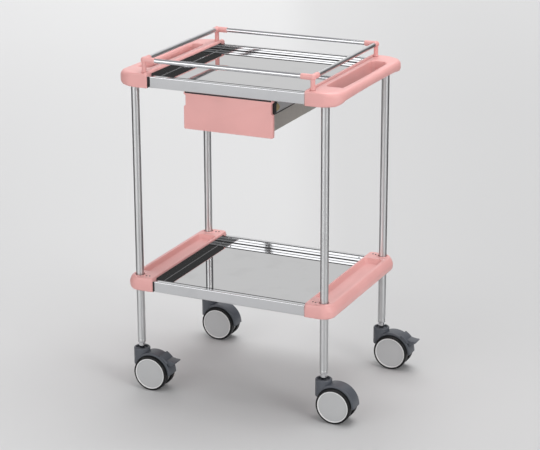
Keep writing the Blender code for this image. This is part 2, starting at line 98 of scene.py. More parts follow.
class Face(Enum):
    """The two wheels of a caster, and the two long sides of a shelf, as the sign of Y."""

    FRONT = -1
    REAR = 1

    @property
    def label(self) -> str:
        """Return the face's name as the nodes use it."""
        return self.name.lower()


class Level(Enum):
    """The two shelves."""

    UPPER = "upper"
    LOWER = "lower"


class Grain(Enum):
    """Direction in which a metal was drawn or rolled, as the stretch of its pattern."""

    X = (0.01, 1.0, 1.0)
    Y = (1.0, 0.01, 1.0)
    Z = (1.0, 1.0, 0.01)


# ---------------------------------------------------------------- nodes


class Sock:
    """A number on its way through a node tree; arithmetic on it adds Math nodes."""

    def __init__(self, graph: "Graph", socket: bpy.types.NodeSocket) -> None:
        """Wrap an output socket of a graph's node."""
        self.graph = graph
        self.socket = socket

    def math(self, operation: str, first: "Sock | float", second: "Sock | float") -> "Sock":
        """Return the result of a Math node.

        Args:
            operation: the Math node's operation.
            first: its first value.
            second: its second value.

        Returns:
            The node's output.
        """
        node = self.graph.node("ShaderNodeMath", {"operation": operation}, {0: first, 1: second})
        return Sock(self.graph, node.outputs[0])

    def __add__(self, other: "Sock | float") -> "Sock":
        """Return self + other."""
        return self.math("ADD", self, other)

    def __radd__(self, other: float) -> "Sock":
        """Return other + self."""
        return self.math("ADD", other, self)

    def __sub__(self, other: "Sock | float") -> "Sock":
        """Return self - other."""
        return self.math("SUBTRACT", self, other)

    def __rsub__(self, other: float) -> "Sock":
        """Return other - self."""
        return self.math("SUBTRACT", other, self)

    def __mul__(self, other: "Sock | float") -> "Sock":
        """Return self * other."""
        return self.math("MULTIPLY", self, other)

    def __rmul__(self, other: float) -> "Sock":
        """Return other * self."""
        return self.math("MULTIPLY", other, self)

    def __truediv__(self, other: "Sock | float") -> "Sock":
        """Return self / other."""
        return self.math("DIVIDE", self, other)

    def __pow__(self, other: "Sock | float") -> "Sock":
        """Return self ** other."""
        return self.math("POWER", self, other)

    def step(self, low: float, high: float) -> "Sock":
        """Return a smooth step of this value, 0 at low and 1 at high; low may be the larger."""
        node = self.graph.node(
            "ShaderNodeMapRange",
            {"interpolation_type": "SMOOTHSTEP"},
            {"Value": self, "From Min": low, "From Max": high, "To Min": 0.0, "To Max": 1.0},
        )
        return Sock(self.graph, node.outputs[0])


class Graph:
    """A node tree that is written from expressions."""

    def __init__(self, tree: bpy.types.NodeTree) -> None:
        """Write into an existing tree."""
        self.tree = tree

    def node(self, kind: str, settings: dict | None = None, sockets: dict | None = None) -> bpy.types.Node:
        """Add a node.

        Args:
            kind: the node's type name.
            settings: its properties, set first; "stops" are a ramp's places and colours.
            sockets: its inputs by name or number, each a value, a Sock or an output socket.

        Returns:
            The new node.
        """
        node = self.tree.nodes.new(kind)
        for name, value in (settings or {}).items():
            if name == "stops":
                self.set_ramp(node.color_ramp, value)
            else:
                setattr(node, name, value)
        for name, value in (sockets or {}).items():
            self.feed(node.inputs[name], value)
        return node

    @staticmethod
    def set_ramp(ramp: bpy.types.ColorRamp, stops: list[tuple[float, float]]) -> None:
        """Give a ramp its stops, each a place and a grey level."""
        while len(ramp.elements) < len(stops):
            ramp.elements.new(1.0)
        for element, (place, level) in zip(ramp.elements, stops):
            element.position = place
            element.color = (level, level, level, 1.0)

    def feed(self, socket: bpy.types.NodeSocket, value: object) -> None:
        """Link or set an input socket."""
        if isinstance(value, Sock):
            value = value.socket
        if isinstance(value, bpy.types.NodeSocket):
            self.tree.links.new(value, socket)
        else:
            socket.default_value = value


class SurfaceGraph(Graph):
    """A material's node tree, with the patterns that the finishes share."""

    def noise(self, scale: float, grain: Grain | None = None, detail: float = 2.0) -> Sock:
        """Return a noise pattern in the trolley's own coordinates.

        Args:
            scale: how many blotches there are in a metre.
            grain: the direction in which the pattern is drawn out, if any.
            detail: how many finer layers it has.

        Returns:
            The pattern, about 0.5 on average.
        """
        place = self.node("ShaderNodeTexCoord").outputs["Object"]
        if grain is not None:
            place = self.node("ShaderNodeMapping", None, {"Vector": place, "Scale": grain.value}).outputs[0]
        texture = self.node("ShaderNodeTexNoise", None, {"Vector": place, "Scale": scale, "Detail": detail})
        return Sock(self, texture.outputs[0])

    def blend(self, share: Sock, first: object, second: object) -> bpy.types.NodeSocket:
        """Return a colour between two, by share.

        Args:
            share: how much of the second there is.
            first: a Colour or an output socket.
            second: the same.

        Returns:
            The colour.
        """
        ends = [(*end, 1.0) if isinstance(end, tuple) else end for end in (first, second)]
        node = self.node("ShaderNodeMix", {"data_type": "RGBA"}, {0: share, 6: ends[0], 7: ends[1]})
        return node.outputs[2]

    def bump(self, height: Sock, strength: float, distance: float) -> bpy.types.NodeSocket:
        """Return a normal for a surface with the given relief."""
        sockets = {"Height": height, "Strength": strength, "Distance": distance}
        return self.node("ShaderNodeBump", None, sockets).outputs[0]

    def along(self, place: bpy.types.NodeSocket, direction: Place) -> Sock:
        """Return how far a place or a direction reaches along another direction."""
        node = self.node("ShaderNodeVectorMath", {"operation": "DOT_PRODUCT"}, {0: place, 1: direction})
        return Sock(self, node.outputs["Value"])

    def axes(self, place: bpy.types.NodeSocket, yaw: float) -> tuple[Sock, Sock]:
        """Return how far a place or a direction reaches ahead and to the right, at a yaw in radians."""
        ahead = self.along(place, (-math.sin(yaw), math.cos(yaw), 0.0))
        return ahead, self.along(place, (math.cos(yaw), math.sin(yaw), 0.0))

    def painted_dark_reflection(self, ahead: Sock, right: Sock) -> Sock:
        """Return where the floor is painted dark for glossy rays, a painted reflection of the studio's dark
        sides, from 0 to 1.

        Args:
            ahead: how far a place lies ahead of the trolley's middle.
            right: how far it lies to the right.

        Returns:
            The darkness, which starts at a distance from the trolley.
        """
        reach = (ahead * ahead + right * right + 0.000001) ** 0.5
        facing = ahead / reach
        return facing.step(0.88, 0.78) * facing.step(-0.25, 0.05) * reach.step(0.6, 1.5)


def shaded(colour: Colour, factor: float) -> Colour:
    """Return a colour made lighter or darker."""
    return tuple(min(1.0, channel * factor) for channel in colour)


@dataclass(frozen=True)
class Finish:
    """A surface finish: its colour and gloss, and the record's material slot that it belongs to."""

    name: str
    slot: str
    colour: Colour
    roughness: float
    metallic: float = 0.0
    coat: float = 0.0

    def material(self) -> bpy.types.Material:
        """Return the finish's material, made when it is first asked for."""
        found = bpy.data.materials.get(self.name)
        if found is not None:
            return found
        material = bpy.data.materials.new(self.name)
        material.use_nodes = True
        shader = material.node_tree.nodes["Principled BSDF"]
        shader.inputs["Metallic"].default_value = self.metallic
        shader.inputs["Coat Weight"].default_value = self.coat
        shader.inputs["Coat Roughness"].default_value = 0.2
        self.dress(SurfaceGraph(material.node_tree), shader)
        return material

    def dress(self, graph: SurfaceGraph, shader: bpy.types.Node) -> None:
        """Write the finish's pattern into its shader.

        Args:
            graph: the material's tree.
            shader: the tree's Principled node.
        """
        raise NotImplementedError


@dataclass(frozen=True)
class Moulding(Finish):
    """Moulded plastic: a fine eroded grain over a faint mottle."""

    grain_depth: float = 0.00008
    mottle: float = 0.035

    def dress(self, graph: SurfaceGraph, shader: bpy.types.Node) -> None:
        """Write the mottle, the grain and the uneven gloss."""
        cloud = graph.noise(9.0).step(0.3, 0.7)
        light = shaded(self.colour, 1 + self.mottle)
        dark = shaded(self.colour, 1 - self.mottle)
        graph.feed(shader.inputs["Base Color"], graph.blend(cloud, dark, light))
        uneven = graph.noise(70.0)
        graph.feed(shader.inputs["Roughness"], self.roughness + (uneven - 0.5) * 0.12)
        relief = graph.noise(1300.0, detail=1.0) + 0.6 * graph.noise(320.0)
        graph.feed(shader.inputs["Normal"], graph.bump(relief, 0.35, self.grain_depth))


@dataclass(frozen=True)
class PolishedSteel(Finish):
    """Polished stainless steel: draw lines along its grain and faint handling marks."""

    grain: Grain = Grain.Z
    lines: float = 0.03
    ring_polish: float = 0.0

    def dress(self, graph: SurfaceGraph, shader: bpy.types.Node) -> None:
        """Write the draw lines and the handling marks, and for a tube the polish round it."""
        if self.ring_polish:
            shader.inputs["Anisotropic"].default_value = self.ring_polish
            shader.inputs["Anisotropic Rotation"].default_value = 0.25
        draw = graph.noise(700.0, self.grain)
        marks = graph.noise(14.0, detail=4.0).step(0.48, 0.75)
        rough = self.roughness + draw * self.lines + marks * 0.02
        graph.feed(shader.inputs["Roughness"], rough)
        graph.feed(shader.inputs["Base Color"], graph.blend(marks, self.colour, shaded(self.colour, 0.95)))
        graph.feed(shader.inputs["Normal"], graph.bump(draw, 0.06, 0.00002))


@dataclass(frozen=True)
class PlatedSheet(Finish):
    """Zinc-plated or plain rolled sheet: a cloudy spangle with rolling lines."""

    grain: Grain = Grain.Y

    def dress(self, graph: SurfaceGraph, shader: bpy.types.Node) -> None:
        """Write the spangle and the rolling lines."""
        spangle = graph.noise(130.0, detail=1.0).step(0.30, 0.70)
        rolled = graph.noise(420.0, self.grain)
        cloud = spangle * 0.5 + rolled * 0.5
        colour = graph.blend(cloud, shaded(self.colour, 0.96), shaded(self.colour, 1.05))
        graph.feed(shader.inputs["Base Color"], colour)
        graph.feed(shader.inputs["Roughness"], self.roughness + rolled * 0.10 + spangle * 0.02)
        graph.feed(shader.inputs["Normal"], graph.bump(rolled, 0.15, 0.00004))


@dataclass(frozen=True)
class Rubber(Finish):
    """Tyre rubber: matt, with dust where it has rolled."""

    dust: Colour = (0.075, 0.073, 0.070)

    def dress(self, graph: SurfaceGraph, shader: bpy.types.Node) -> None:
        """Write the dust and the fine roughness of the tread."""
        dusty = graph.noise(60.0, detail=5.0).step(0.52, 0.78)
        graph.feed(shader.inputs["Base Color"], graph.blend(dusty * 0.5, self.colour, self.dust))
        graph.feed(shader.inputs["Roughness"], self.roughness + dusty * 0.2)
        shader.inputs["Specular IOR Level"].default_value = 0.25
        relief = graph.noise(900.0) + 0.5 * graph.noise(240.0)
        graph.feed(shader.inputs["Normal"], graph.bump(relief, 0.4, 0.00006))


@dataclass(frozen=True)
class FloorPaper(Finish):
    """The pale paper under the trolley, with painted shade: a little darker before it and to its right.

    Only glossy rays see the painted dark sides on it: a painted reflection of a dark studio.
    """

    yaw: float = STUDIO_YAW
    # How dark the painted reflection makes the paper's sides.
    dark: float = 0.10
    # How dark the painted shade makes the paper.
    shade: float = 0.76

    def dress(self, graph: SurfaceGraph, shader: bpy.types.Node) -> None:
        """Write the faint unevenness, the painted shade and shadow, and the painted dark reflection."""
        place = graph.node("ShaderNodeTexCoord").outputs["Object"]
        ahead, right = graph.axes(place, self.yaw)
        # Painted shadow: the paper is darkened to the right of the trolley.
        painted_shadow_right = right.step(0.02, 0.30) * right.step(2.2, 0.6) * 0.38 + right.step(0.1, 1.3) * 0.20
        # Painted shade: darker towards the camera and lighter far behind the trolley, with a faint random
        # unevenness.
        painted_falloff_and_unevenness = ahead.step(-1.5, 5.0) * 0.64 + graph.noise(0.7) * 0.07 + 0.29 - painted_shadow_right
        pale = graph.blend(painted_falloff_and_unevenness, shaded(self.colour, self.shade), self.colour)
        # Painted reflection: glossy rays alone see the paper darkened off to the sides.
        mirrored = Sock(graph, graph.node("ShaderNodeLightPath").outputs["Is Glossy Ray"])
        share = graph.painted_dark_reflection(ahead, right) * mirrored
        colour = graph.blend(share, pale, shaded(self.colour, self.dark))
        graph.feed(shader.inputs["Base Color"], colour)
        shader.inputs["Roughness"].default_value = self.roughness


PINK = Moulding("finish_pink", "pink_moulding", (0.800, 0.405, 0.385), 0.38, coat=0.12)
TUBE = PolishedSteel("finish_tube", "polished_steel", (0.69, 0.695, 0.70), 0.27, 1.0, lines=0.02,
                     ring_polish=0.97)
STEEL = {
    grain: PolishedSteel(f"finish_steel_{grain.name.lower()}", "polished_steel", (0.68, 0.685, 0.70), 0.05,
                         1.0, grain=grain)
    for grain in Grain
}
SIDE_ROD = PolishedSteel("finish_side_rod", "polished_steel", (0.78, 0.785, 0.80), 0.30, 1.0,
                         grain=Grain.Y)
MIRROR = PolishedSteel("finish_mirror", "mirror_steel", (0.62, 0.62, 0.625), 0.015, 1.0, grain=Grain.X,
                       lines=0.01)
SCREW = PolishedSteel("finish_screw", "polished_steel", (0.30, 0.30, 0.31), 0.25, 1.0)
SHEET = PlatedSheet("finish_drawer_sheet", "drawer_steel", (0.68, 0.655, 0.61), 0.38, 0.72)
ZINC = PlatedSheet("finish_zinc", "zinc_slide", (0.74, 0.75, 0.76), 0.34, 0.65)
BRASS = PlatedSheet("finish_brass", "zinc_slide", (0.60, 0.48, 0.24), 0.38, 0.60)
HOUSING = Moulding("finish_housing", "dark_housing", (0.080, 0.088, 0.104), 0.42, coat=0.1)
# The disc's grey made paler for the rim bead: a painted highlight where the rim catches the light.
RIM_HIGHLIGHT = Moulding("finish_disc_rim", "grey_disc", (0.80, 0.80, 0.80), 0.25, coat=0.3, mottle=0.01)
# Near-black plastic: the slides' real end stops, and the strips and heads that paint shade in gaps, lines
# and recesses.
BLACK_STOP_AND_PAINTED_SHADE = Moulding("finish_slide_stop", "dark_housing", (0.012, 0.012, 0.013), 0.45)
TREAD = Rubber("finish_tread", "black_tread", (0.011, 0.011, 0.012), 0.48)
DISC = Moulding("finish_disc", "grey_disc", (0.50, 0.505, 0.51), 0.38, coat=0.1, mottle=0.015)
PAPER = FloorPaper("finish_paper", "", (0.74, 0.74, 0.74), 0.9)


# ---------------------------------------------------------------- mesh work


def arc(centre: Point, radius: float, start: float, stop: float, steps: int) -> list[Point]:
    """Return steps + 1 points on an arc.

    Args:
        centre: the arc's centre.
        radius: its radius.
        start: its first angle, in degrees.
        stop: its last angle, in degrees.
        steps: how many parts it has.

    Returns:
        The points in order.
    """
    turns = [math.radians(start + (stop - start) * k / steps) for k in range(steps + 1)]
    return [(centre[0] + radius * math.cos(a), centre[1] + radius * math.sin(a)) for a in turns]


def rounded_path(points: list[Point], radius: float, steps: int = 6) -> list[Point]:
    """Return an open path with its inner corners rounded.

    Args:
        points: the path's ends and corners.
        radius: the radius of each bend.
        steps: how many parts a bend has.

    Returns:
        The path's points.
    """
    path = [points[0]]
    for before, corner, after in zip(points, points[1:], points[2:]):
        here = Vector(corner)
        back = (Vector(before) - here).normalized()
        on = (Vector(after) - here).normalized()
        half = back.angle(on) / 2
        reach = radius / math.tan(half)
        start, end = here + back * reach, here + on * reach
        centre = here + (back + on).normalized() * (radius / math.sin(half))
        path.append(tuple(start + back * (radius * 0.12)))
        for k in range(steps + 1):
            spoke = (start - centre).slerp(end - centre, k / steps)
            path.append(tuple(centre + spoke.normalized() * radius))
        path.append(tuple(end + on * (radius * 0.12)))
    path.append(points[-1])
    return path


def sheet_outline(path: list[Point], thickness: float) -> list[Point]:
    """Return the closed outline of bent sheet metal along its middle line.

    Args:
        path: the middle line.
        thickness: the sheet's thickness.

    Returns:
        The outline, one side and then the other.
    """
    left, right = [], []
    for k, here in enumerate(path):
        along = Vector(path[min(k + 1, len(path) - 1)]) - Vector(path[max(k - 1, 0)])
        across = Vector((-along.y, along.x)).normalized() * (thickness / 2)
        left.append((here[0] + across.x, here[1] + across.y))
        right.append((here[0] - across.x, here[1] - across.y))
    return left + right[::-1]


def smooth_step(t: float) -> float:
    """Ease a number from 0 to 1."""
    t = min(1.0, max(0.0, t))
    return t * t * (3 - 2 * t)


class Solid:
    """Vertices and faces under construction, in metres."""

    def __init__(self, vertices: list | None = None, faces: list | None = None) -> None:
        """Start from the given vertices and faces, or from nothing."""
        self.vertices = [tuple(v) for v in vertices or []]
        self.faces = [tuple(f) for f in faces or []]

    def __add__(self, other: "Solid") -> "Solid":
        """Return both solids as one group."""
        shift = len(self.vertices)
        faces = self.faces + [tuple(i + shift for i in face) for face in other.faces]
        return Solid(self.vertices + other.vertices, faces)

    def moved(self, x: float = 0.0, y: float = 0.0, z: float = 0.0) -> "Solid":
        """Return the solid shifted."""
        return Solid([(a + x, b + y, c + z) for a, b, c in self.vertices], self.faces)

    def mesh(self, name: str = "solid") -> bpy.types.Mesh:
        """Return the solid as a mesh with its faces pointing outwards."""
        mesh = bpy.data.meshes.new(name)
        mesh.from_pydata(self.vertices, [], self.faces)
        bm = bmesh.new()
        bm.from_mesh(mesh)
        bmesh.ops.recalc_face_normals(bm, faces=bm.faces)
        bm.to_mesh(mesh)
        bm.free()
        return mesh


def loft(rings: list[Ring], closed: bool = False) -> Solid:
    """Skin rings of equal length.

    Args:
        rings: the rings, each a list of points.
        closed: join the last ring to the first; both ends are capped otherwise.

    Returns:
        The skinned solid.
    """
    count = len(rings[0])
    faces = []
    for r in range(len(rings) if closed else len(rings) - 1):
        a, b = r * count, ((r + 1) % len(rings)) * count
        for k in range(count):
            j = (k + 1) % count
            faces.append((a + k, a + j, b + j, b + k))
    if not closed:
        faces.append(tuple(range(count)))
        faces.append(tuple(range((len(rings) - 1) * count, len(rings) * count)))
    return Solid([p for ring in rings for p in ring], faces)


def lathe(profile: list[Point], segments: int, axis: str = "z") -> Solid:
    """Turn a profile of (radius, height) points about an axis.

    Args:
        profile: a closed profile, or an open one whose two ends lie on the axis.
        segments: how many parts the turn has.
        axis: "x", "y" or "z".

    Returns:
        The turned solid, closed.
    """
    place = {
        "x": lambda r, h, c, s: (h, r * c, r * s),
        "y": lambda r, h, c, s: (r * c, h, r * s),
        "z": lambda r, h, c, s: (r * c, r * s, h),
    }[axis]
    vertices, rings = [], []
    for radius, height in profile:
        start = len(vertices)
        count = 1 if radius < 1e-9 else segments
        for k in range(count):
            turn = 2 * math.pi * k / segments
            vertices.append(place(radius, height, math.cos(turn), math.sin(turn)))
        rings.append([start + k % count for k in range(segments)])
    faces = []
    for a, b in zip(rings, rings[1:] + rings[:1]):
        for k in range(segments):
            j = (k + 1) % segments
            corners = [a[k], a[j], b[j], b[k]]
            face = [v for n, v in enumerate(corners) if v not in corners[:n]]
            if len(face) > 2:
                faces.append(face)
    return Solid(vertices, faces)


def prism(outline: list[Point], axis: str, low: float, high: float) -> Solid:
    """Extrude an outline along an axis; its two numbers are the other axes in order."""
    place = {
        "x": lambda a, b, t: (t, a, b),
        "y": lambda a, b, t: (a, t, b),
        "z": lambda a, b, t: (a, b, t),
    }[axis]
    return loft([[place(a, b, t) for a, b in outline] for t in (low, high)])


def rounded_bar(half: float, radius: float, axis: str, segments: int = 24, round_steps: int = 8) -> Solid:
    """Return a round bar of half length half, its two ends domed.

    Args:
        half: half of its length.
        radius: its radius.
        axis: "x", "y" or "z".
        segments: how many sides it has.
        round_steps: how many parts a dome has.

    Returns:
        The bar about the origin.
    """
    dome = arc((0.0, half - radius), radius, 0, 90, round_steps)
    profile = [(r, -h) for r, h in reversed(dome)] + dome
    return lathe([(max(r, 0.0) if abs(r) > 1e-7 else 0.0, h) for r, h in profile], segments, axis)


def slab(x0: float, x1: float, y0: float, y1: float, z0: float, z1: float) -> Solid:
    """Return a rectangular block, for a cutter or the core of a bevelled piece."""
    return prism([(x0, y0), (x1, y0), (x1, y1), (x0, y1)], "z", z0, z1)


def placed(name: str, data: bpy.types.ID) -> bpy.types.Object:
    """Return a new object in the scene.

    Args:
        name: the object's name.
        data: its mesh, light or camera.

    Returns:
        The object.
    """
    item = bpy.data.objects.new(name, data)
    bpy.context.scene.collection.objects.link(item)
    return item


def worked(mesh: bpy.types.Mesh, steps: list[tuple[str, dict]]) -> bpy.types.Mesh:
    """Return a mesh after a stack of modifiers.

    Args:
        mesh: the mesh to work on.
        steps: each modifier's type and its settings; a Boolean's cutter is given as a mesh.

    Returns:
        The finished mesh.
    """
    base = placed("blank", mesh)
    helpers = [base]
    for kind, settings in steps:
        modifier = base.modifiers.new(kind.lower(), kind)
        for name, value in settings.items():
            if isinstance(value, bpy.types.Mesh):
                value = placed("cutter", value)
                helpers.append(value)
            setattr(modifier, name, value)
    graph = bpy.context.evaluated_depsgraph_get()
    result = bpy.data.meshes.new_from_object(base.evaluated_get(graph))
    for helper in helpers:
        bpy.data.objects.remove(helper, do_unlink=True)
    return result


def carved(solid: Solid, cutters: list[Solid]) -> bpy.types.Mesh:
    """Return a solid's mesh with the cutters taken out of it.

    Args:
        solid: what is cut.
        cutters: what is taken out, in order.

    Returns:
        The cut mesh.
    """
    mesh = solid.mesh()
    for cutter in cutters:
        cut = {"operation": "DIFFERENCE", "solver": "EXACT", "object": cutter.mesh()}
        mesh = worked(mesh, [("BOOLEAN", cut)])
    return mesh


def bevelled(mesh: bpy.types.Mesh, width: float, segments: int = 3) -> bpy.types.Mesh:
    """Return a mesh with its sharp edges rounded."""
    settings = {"width": width, "segments": segments, "limit_method": "ANGLE",
                "angle_limit": math.radians(35), "harden_normals": False}
    return worked(mesh, [("BEVEL", settings)])


def joined(meshes: list[bpy.types.Mesh]) -> bpy.types.Mesh:
    """Return several meshes as one.

    Args:
        meshes: the meshes, in order.

    Returns:
        The new mesh, without materials.
    """
    bm = bmesh.new()
    for mesh in meshes:
        bm.from_mesh(mesh)
    result = bpy.data.meshes.new("joined")
    bm.to_mesh(result)
    bm.free()
    return result


def piece(name: str, mesh: bpy.types.Mesh, finish: Finish, body: str = "root", nodes: tuple[str, ...] = (),
          angle: float = 38.0) -> bpy.types.Object:
    """Make a piece of the trolley and hang it on its body.

    Args:
        name: the piece's name.
        mesh: its mesh, already in place.
        finish: its finish.
        body: the body that it rides on.
        nodes: the CAD nodes that it stands for.
        angle: edges sharper than this many degrees stay sharp.

    Returns:
        The piece.
    """
    mesh.materials.clear()
    mesh.materials.append(finish.material())
    mesh.shade_smooth()
    mesh.set_sharp_from_angle(angle=math.radians(angle))
    item = placed(name, mesh)
    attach(item, body)
    if nodes:
        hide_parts(*nodes)
    LOG.info("%s on %s: %d faces", name, body, len(mesh.polygons))
    return item


# ---------------------------------------------------------------- geometry nodes


class PatternGraph(Graph):
    """A Geometry Nodes tree with named inputs, run once to a plain mesh."""

    def __init__(self, name: str, inputs: dict[str, str]) -> None:
        """Make the tree.

        Args:
            name: the tree's name.
            inputs: the type of each input socket, by its name.
        """
        super().__init__(bpy.data.node_groups.new(name, "GeometryNodeTree"))
        for label, kind in inputs.items():
            self.tree.interface.new_socket(label, in_out="INPUT", socket_type=kind)
        self.tree.interface.new_socket("Geometry", in_out="OUTPUT", socket_type="NodeSocketGeometry")
        self.start = self.tree.nodes.new("NodeGroupInput")

    def given(self, label: str) -> Sock:
        """Return one of the tree's inputs."""
        return Sock(self, self.start.outputs[label])

    def shape(self, kind: str, sockets: dict | None = None, **settings: object) -> bpy.types.NodeSocket:
        """Add a node and return its first output."""
        return self.node(kind, settings, sockets).outputs[0]

    def close(self, geometry: bpy.types.NodeSocket) -> None:
        """End the tree: instances made real, material set."""
        real = self.shape("GeometryNodeRealizeInstances", {"Geometry": geometry})
        sockets = {"Geometry": real, "Material": self.given("Material")}
        dressed = self.shape("GeometryNodeSetMaterial", sockets)
        self.node("NodeGroupOutput", None, {"Geometry": dressed})

    def run(self, values: dict, points: list[tuple[float, float, float]] | None = None) -> bpy.types.Mesh:
        """Run the tree.

        Args:
            values: a value for each input, by name.
            points: where the tree puts its copies, if it reads them from its own mesh.

        Returns:
            The plain mesh that it makes.
        """
        blank = bpy.data.meshes.new("points")
        blank.from_pydata(points or [(0.0, 0.0, 0.0)], [], [])
        holder = placed("holder", blank)
        modifier = holder.modifiers.new("pattern", "NODES")
        modifier.node_group = self.tree
        for item in self.tree.interface.items_tree:
            if item.in_out == "INPUT" and item.name in values:
                modifier[item.identifier] = values[item.name]
        graph = bpy.context.evaluated_depsgraph_get()
        result = bpy.data.meshes.new_from_object(holder.evaluated_get(graph))
        bpy.data.objects.remove(holder, do_unlink=True)
        return result


def tube_tree() -> PatternGraph:
    """Build the tree for a straight tube whose radius narrows in a groove near its start.

    Returns:
        A tree that sweeps a circle along a line, for posts and guard rods.
    """
    graph = PatternGraph("tube", {
        "Start": "NodeSocketVector", "End": "NodeSocketVector", "Radius": "NodeSocketFloat",
        "Groove Place": "NodeSocketFloat", "Groove Width": "NodeSocketFloat",
        "Groove Depth": "NodeSocketFloat", "Stations": "NodeSocketInt", "Segments": "NodeSocketInt",
        "Material": "NodeSocketMaterial",
    })
    ends = {"Start": graph.given("Start"), "End": graph.given("End")}
    line = graph.shape("GeometryNodeCurvePrimitiveLine", ends)
    path = graph.shape("GeometryNodeResampleCurve", {"Curve": line, "Count": graph.given("Stations")})
    along = Sock(graph, graph.node("GeometryNodeSplineParameter").outputs["Length"])
    off = (along - graph.given("Groove Place")) / graph.given("Groove Width")
    bell = Sock(graph, graph.shape("ShaderNodeMath", {0: -1.0 * off * off}, operation="EXPONENT"))
    share = 1.0 - graph.given("Groove Depth") * bell / graph.given("Radius")
    thick = graph.shape("GeometryNodeSetCurveRadius", {"Curve": path, "Radius": share})
    circle = {"Resolution": graph.given("Segments"), "Radius": graph.given("Radius")}
    ring = graph.shape("GeometryNodeCurvePrimitiveCircle", circle)
    sweep = {"Curve": thick, "Profile Curve": ring, "Fill Caps": True}
    tube = graph.node("GeometryNodeCurveToMesh", None, sweep)
    if "Scale" in tube.inputs:
        graph.feed(tube.inputs["Scale"], share)
    graph.close(tube.outputs[0])
    return graph


SCREW_FLATNESS = 0.45
SLOT_LONG = 1.1
SLOT_WIDE = 0.22
SLOT_DEEP = 0.5


def screw_tree() -> PatternGraph:
    """Build the tree that puts a pan-head screw on every point.

    Returns:
        A tree that turns each head's axis along the given direction.
    """
    graph = PatternGraph("screws", {
        "Geometry": "NodeSocketGeometry", "Radius": "NodeSocketFloat", "Axis": "NodeSocketVector",
        "Material": "NodeSocketMaterial",
    })
    radius = graph.given("Radius")
    ball = graph.shape("GeometryNodeMeshUVSphere", {"Segments": 20, "Rings": 12, "Radius": radius})
    head = graph.shape("GeometryNodeTransform", {"Geometry": ball, "Scale": (1.0, 1.0, SCREW_FLATNESS)})
    cross = graph.node("GeometryNodeJoinGeometry")
    lift = graph.shape("ShaderNodeCombineXYZ", {2: radius * SLOT_DEEP})
    for long, wide in ((SLOT_LONG, SLOT_WIDE), (SLOT_WIDE, SLOT_LONG)):
        sides = {0: radius * long, 1: radius * wide, 2: radius * SLOT_DEEP}
        bar = graph.shape("GeometryNodeMeshCube", {"Size": graph.shape("ShaderNodeCombineXYZ", sides)})
        raised = graph.shape("GeometryNodeTransform", {"Geometry": bar, "Translation": lift})
        graph.feed(cross.inputs[0], raised)
    cut = graph.shape("GeometryNodeMeshBoolean", {"Mesh 1": head, "Mesh 2": cross.outputs[0]},
                      operation="DIFFERENCE")
    turn = graph.shape("FunctionNodeAlignRotationToVector", {"Vector": graph.given("Axis")}, axis="Z")
    copies = {"Points": graph.given("Geometry"), "Instance": cut, "Rotation": turn}
    graph.close(graph.shape("GeometryNodeInstanceOnPoints", copies))
    return graph


def crown_tree() -> PatternGraph:
    """Build the tree for a crown of ribs round a vertical axis.

    Returns:
        A tree that sets Count ribs on a circle, each turned to face outwards.
    """
    graph = PatternGraph("crown", {
        "Count": "NodeSocketInt", "Radius": "NodeSocketFloat", "Rib": "NodeSocketVector",
        "Centre": "NodeSocketVector", "Material": "NodeSocketMaterial",
    })
    circle = {"Vertices": graph.given("Count"), "Radius": graph.given("Radius")}
    ring = graph.shape("GeometryNodeMeshCircle", circle)
    rib = graph.shape("GeometryNodeMeshCube", {"Size": graph.given("Rib")})
    place = graph.shape("GeometryNodeInputPosition")
    turn = graph.shape("FunctionNodeAlignRotationToVector", {"Vector": place}, axis="X")
    copies = {"Points": ring, "Instance": rib, "Rotation": turn}
    crown = graph.shape("GeometryNodeInstanceOnPoints", copies)
    moved = {"Geometry": crown, "Translation": graph.given("Centre")}
    graph.close(graph.shape("GeometryNodeTransform", moved))
    return graph


# ---------------------------------------------------------------- places taken from the frame


def middle(node: str) -> Vector:
    """Return the middle of a CAD node's box."""
    low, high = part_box(node)
    return (low + high) / 2


def span(node: str, axis: int) -> tuple[float, float]:
    """Return a CAD node's lowest and highest value on an axis."""
    low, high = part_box(node)
    return low[axis], high[axis]


def half_width(node: str) -> float:
    """Return half of a CAD node's width."""
    left, right = span(node, 0)
    return (right - left) / 2


POSTS = {corner: middle("post_" + corner.label) for corner in Corner}
CENTRE_X = (POSTS[Corner.FRONT_LEFT].x + POSTS[Corner.FRONT_RIGHT].x) / 2
POST_X = POSTS[Corner.FRONT_RIGHT].x - CENTRE_X
POST_Y = POSTS[Corner.REAR_RIGHT].y


def sided(mesh: bpy.types.Mesh, side: Side) -> bpy.types.Mesh:
    """Put a mesh that was made about X = 0 on the right onto its side of the trolley.

    Args:
        mesh: the mesh, which is changed.
        side: the end of the trolley.

    Returns:
        The same mesh.
    """
    if side is Side.LEFT:
        mesh.transform(Matrix.Scale(-1, 4, (1, 0, 0)))
        mesh.flip_normals()
    mesh.transform(Matrix.Translation((CENTRE_X, 0, 0)))
    return mesh


@dataclass
class Posts:
    """The four upright tubes."""

    groove_height: float = 0.0075
    groove_depth: float = 0.0006
    groove_width: float = 0.0012

    def build(self, tubes: PatternGraph) -> None:
        """Make the tubes, each with the groove that locks the caster's plug.

        Args:
            tubes: the tree that sweeps a tube.
        """
        for corner, at in POSTS.items():
            node = "post_" + corner.label
            low, high = span(node, 2)
            mesh = tubes.run({
                "Start": (at.x, at.y, low), "End": (at.x, at.y, high), "Radius": half_width(node),
                "Groove Place": self.groove_height, "Groove Width": self.groove_width,
                "Groove Depth": self.groove_depth, "Stations": 900, "Segments": 40,
                "Material": TUBE.material(),
            })
            piece("tube_" + corner.label, mesh, TUBE, nodes=(node,), angle=50)


CORNER_STEPS = 14
SIDE_STEPS = 12


